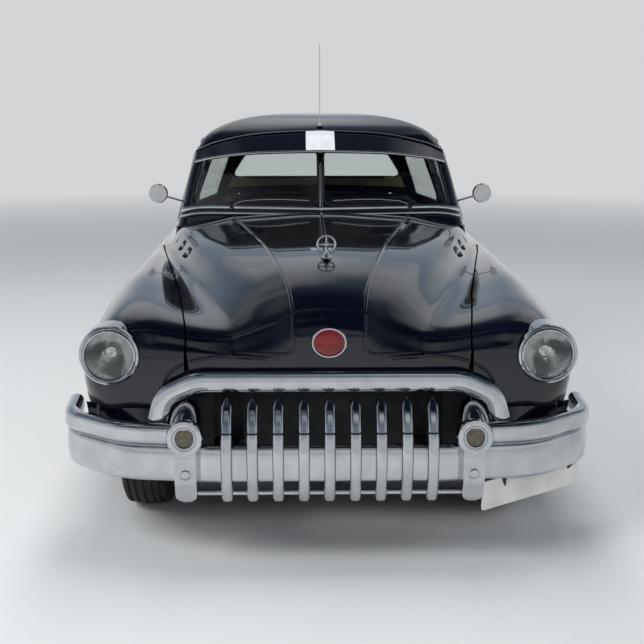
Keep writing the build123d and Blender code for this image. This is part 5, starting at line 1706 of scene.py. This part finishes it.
@dataclass
class Lamps:
    """Headlamps, parking lamps on their pods, and the rims of the tail lamps.

    Each field is a lamp's middle: x of the left one, station and height.
    """

    headlamp: tuple[float, float, float] = (HEADLAMP_X, 176, HEADLAMP_Z)
    parking: tuple[float, float, float] = (POD_X, 4.5, 530)
    tail: tuple[float, float, float] = (TAIL_LAMP_X, 5108, TAIL_LAMP_Z)

    def build(self) -> None:
        """Builds lenses, bowls and bulbs, in place of the plain lenses."""
        for sign, hand in HANDS:
            head, pod, tail = (spot(sign * x, station, z)
                               for x, station, z in (self.headlamp, self.parking, self.tail))
            self.headlamp_pieces(head, hand)
            self.pod_pieces(pod, hand)
            path = [(0, -24), (48, -22), (60, 0), (60, 50), (55, 95), (40, 140), (20, 166), (0, 174)]
            path = corner_weights((0.6,) * 6, 4, 2) @ np.array(path, float)
            fit(turned(f"pod_tail_{hand}", path, spot(sign * POD_X, 45, 535), (0, 0.87, 0.5)), CHROME)
            rim = [(42, -14), (42, 0), (45, 4), (49, 2), (50, -6), (48, -14)]
            fit(turned(f"tail_lamp_rim_{hand}", rim, tail, (0, 1, 0)), CHROME)

    def headlamp_pieces(self, centre: Array, hand: str) -> None:
        """A headlamp's lens over its bowl, bulb and ring.

        Args:
            centre: The middle of the lens.
            hand: Left or right.
        """
        lens = self.lens(f"headlamp_lens_{hand}", centre, 93.0, 15.0, 34, 0.0011)
        fit(lens, LAMP_GLASS, node="lamp_lenses" if hand == "left" else "")
        bowl = [(0, -72), (20, -69), (50, -54), (74, -34), (90, -17), (92.5, -17), (92.5, -80), (0, -80)]
        bulb = [(0, -36), (6, -38), (9, -45), (7, -54), (7, -70), (0, -70)]
        ring = [(91, -2), (94, 1.5), (97, -1), (95, -5), (91, -5)]
        fit(turned(f"headlamp_bowl_{hand}", bowl, centre), BOWL)
        fit(turned(f"headlamp_bulb_{hand}", bulb, centre, count=24), LAMP_GLASS)
        fit(turned(f"headlamp_ring_{hand}", ring, centre), CHROME)

    def pod_pieces(self, centre: Array, hand: str) -> None:
        """A parking lamp's smoky lens with its ring and seal.

        Args:
            centre: The middle of the lens.
            hand: Left or right.
        """
        fit(self.lens(f"parking_lens_{hand}", centre, 34.0, 6.0, 10, 0.0004), SMOKY_LENS)
        ring = [(34, -14), (34, 1), (37, 3.5), (42, 3.5), (43.5, 0), (43.5, -14)]
        seal = [(43.5, -10), (43.5, 0.6), (46, 1.6), (48.5, 0.6), (48.5, -10)]
        fit(turned(f"parking_ring_{hand}", ring, centre), STAINLESS)
        fit(turned(f"parking_seal_{hand}", seal, centre), SEAL)

    def lens(self, name: str, centre: Array, radius: float, bulge: float, flutes: int, depth: float) -> Obj:
        """A pressed glass lens: a shallow dome whose back carries upright flutes in its upper half.

        The front is bulge times one minus the squared share of the radius. The back lies
        5 mm behind, with a cosine of x as its flutes, which fade out below the middle.

        Args:
            name: The lens' name.
            centre: Its middle in metres.
            radius: Its radius in millimetres.
            bulge: Height of the dome in millimetres.
            flutes: Number of flutes across.
            depth: Depth of a flute in metres.

        Returns:
            The lens.
        """
        rings, count, glass = 26, 96, 0.005
        radius, bulge = radius * MM, bulge * MM
        share = np.linspace(0.02, 1, rings)[:, None]
        turn = np.linspace(0, 2 * np.pi, count, endpoint=False)[None]
        x, z = radius * share * np.cos(turn), radius * share * np.sin(turn)
        front = bulge * (1 - share ** 2) - bulge * 0.35 + 0 * turn
        upper = np.clip(z / radius * 5 + 1, 0, 1) * (share < 0.94)
        back = front - glass + depth * 0.5 * np.cos(x / radius * np.pi * flutes / 2) * upper
        points = np.concatenate([centre + np.stack([x, -y, z], -1) for y in (front, back)])
        quads, total = grid_quads(rings, count, True), rings * count
        ring = np.arange(count)
        last, after = total - count + ring, total - count + (ring + 1) % count
        faces = [quads, quads[:, ::-1] + total, [ring[::-1]], [ring + total],
                 np.stack([last, after, after + total, last + total], -1)[:, ::-1]]
        return facing_out(mesh_object(name, points, faces, 60))


@dataclass
class Wheels:
    """Dished covers with their rings, and tyres with ribs, tread and whitewall-free sides."""

    radius: float = 358.0
    groove_depth: float = 7.0
    slot_depth: float = 0.004
    slots: int = 160

    def build(self) -> None:
        """Builds cover trims and tyres for the four wheels."""
        dome = [(0, 101), (14, 100), (22, 96), (26, 93), (0, 93)]
        for end, station, x in (("front", FRONT_WHEEL, 750), ("rear", REAR_WHEEL, 790)):
            for sign, hand in HANDS:
                body, axis = f"{end}_road_wheel_{hand}", (sign, 0, 0)
                centre = spot(sign * x, station, WHEEL_Z)
                tyre = self.tyre(f"{end}_tyre_rubber_{hand}", centre, axis)
                fit(tyre, RUBBER, body, f"{end}_tyre_{hand}")
                boss = turned(f"{end}_cover_boss_{hand}", dome, centre, axis)
                fit(boss, CHROME, body)
                for radius, place in ((118, 74.0), (150, 60.0)):
                    profile = np.array([(-4, 0), (0, 3.5), (4, 0), (0, -4)]) + (radius, place)
                    ring = turned(f"{end}_cover_ring{radius}_{hand}", profile, centre, axis)
                    fit(ring, CHROME, body)

    def tyre(self, name: str, centre: Array, axis: tuple) -> Obj:
        """A tyre turned about the axle, its tread cut by grooves and small slots.

        The radius drops by a groove's depth where the offset lies within a groove, and by a
        slot's depth where a saw of the angle passes on the shoulder ribs.

        Args:
            name: The tyre's name.
            centre: The wheel's middle in metres.
            axis: The way out along the axle.

        Returns:
            The tyre.
        """
        section = [(207, 66), (222, 79), (240, 92), (262, 99), (284, 99), (287, 100), (290, 99), (310, 96),
                   (330, 91), (342, 86), (350, 80)]
        tread: list[tuple[float, float]] = []
        half_groove = 4.0
        for middle in (62, 34, 0, -34, -62):
            top = self.radius - 8 * (abs(middle) / 82) ** 2
            low = top - self.groove_depth
            tread += [(top, middle + half_groove + 0.8), (low, middle + half_groove - 0.8),
                      (low, middle - half_groove + 0.8), (top, middle - half_groove - 0.8)]
        other = [(r, -offset) for r, offset in section[::-1]]
        profile = section + tread + other + [(190, -65), (190, 65)]
        piece = turned(name, profile, centre, axis, count=self.slots)
        local = vertices(piece) - centre
        radius = np.hypot(local[:, 1], local[:, 2])
        turn = np.arctan2(local[:, 2], local[:, 1])
        slot = np.round(turn / (2 * np.pi) * self.slots).astype(int) % 2 == 0
        shoulder = (radius > 0.340) & (np.abs(local[:, 0]) > 0.060)
        local[:, 1:] *= np.where(slot & shoulder, (radius - self.slot_depth) / radius, 1.0)[:, None]
        move_vertices(piece, centre + local)
        soften(piece, 30)
        return piece


@dataclass
class Cabin:
    """What shows through the glass: cushions, dials, lining and trim."""

    house: GlasshouseSurface = field(default_factory=GlasshouseSurface)

    def build(self) -> None:
        """Builds seats, dash trims and the lining."""
        for make in (self.seats, self.dash, self.lining):
            make()

    def cushion(self, name: str, low: Array, high: Array, pleats: int, face: tuple[int, int]) -> Obj:
        """A crowned cushion in a box, its face drawn in along pleats.

        The box's surface is a superellipsoid of fourth power, and the face's height is
        crowned and lowered by the absolute sine of x in the pleats.

        Args:
            name: The cushion's name.
            low: The box's low corner in metres.
            high: The box's high corner.
            pleats: Number of pleats across.
            face: The axis that the face looks along, and its sign.

        Returns:
            The cushion.
        """
        rows, columns, blend_power, pleat_depth, crown = 40, 96, 0.32, 0.012, 0.010
        v = np.linspace(-np.pi / 2 + 0.02, np.pi / 2 - 0.02, rows)[:, None]
        u = np.linspace(0, 2 * np.pi, columns, endpoint=False)[None]
        cos_v, sin_v, cos_u, sin_u = (np.sign(wave) * np.abs(wave) ** blend_power
                                      for wave in (np.cos(v), np.sin(v), np.cos(u), np.sin(u)))
        shape = np.stack([cos_v * cos_u, cos_v * sin_u, sin_v + 0 * u], -1)
        points = (low + high) / 2 + shape * (high - low) / 2
        axis, sign = face
        share = shape[..., 0]
        seam = np.abs(np.sin(share * np.pi * pleats / 2)) ** 0.5
        puff = (seam - 1) * pleat_depth + crown * (1 - share ** 2)
        points[..., axis] += puff * np.clip(shape[..., axis] * sign, 0, 1) ** 2 * sign
        return facing_out(mesh_object(name, points, capped(rows, columns), 60))

    def seats(self) -> None:
        """Bench cushions and backs, front and rear, pleated across."""
        up, ahead = (2, 1), (1, -1)
        # name, low corner, high corner, pleats, way that the face looks
        table = (
            ("front_bench_cushion", (-600, 2485, 470), (600, 3000, 655), 12, up),
            ("front_bench_back", (-600, 2925, 520), (600, 3105, 975), 12, ahead),
            ("rear_bench_cushion", (-540, 3345, 480), (540, 3850, 668), 10, up),
            ("rear_bench_back", (-540, 3770, 540), (540, 3950, 1025), 10, ahead),
        )
        for name, low, high, pleats, face in table:
            piece = self.cushion(name, spot(*low), spot(*high), pleats, face)
            fit(piece, SEAT_CLOTH)

    def dash(self) -> None:
        """Dials and chrome strips on the dashboard."""
        for x, radius in ((370, 62), (235, 36), (505, 36)):
            rim = [(radius - 5, 0), (radius - 4, 6), (radius, 8), (radius + 4, 5), (radius + 4, 0)]
            face = [(0, 3), (radius - 4, 3), (radius - 4, -2), (0, -2)]
            for name, profile, finish in (("rim", rim, CHROME), ("face", face, DIAL)):
                fit(turned(f"dial_{name}_{x}", profile, spot(x, 2128, 962), (0, 1, 0)), finish)
        for z in (905, 1020):
            fit(tube(f"dash_strip_{z}", spot(np.linspace(-590, 590, 40), 2132, z), 0.004, 0.005), STAINLESS)

    def lining(self) -> None:
        """The cream headlining under the roof, down the rear pillars."""
        sheet = slab("headlining", self.house.surface(1120.0), 0.004, wrap=True, depth=0.025)
        ahead_of_pillars = Prism(View.SIDE, rect(1500, 900, 2420, 1460))
        fit(shaped(sheet, cut=(*door_cuts(), *screen_cuts(grown(SCREEN, 3)), ahead_of_pillars)), HEADLINING)


def main() -> None:
    """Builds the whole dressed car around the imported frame."""
    logging.basicConfig(level=logging.INFO)
    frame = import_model()
    dress_frame(frame)
    for group in (Studio(), Panels(), Brightwork(), Lamps(), Wheels(), Cabin()):
        group.build()
        LOG.info("%s is in place", type(group).__name__)


if __name__ == "__main__":
    main()
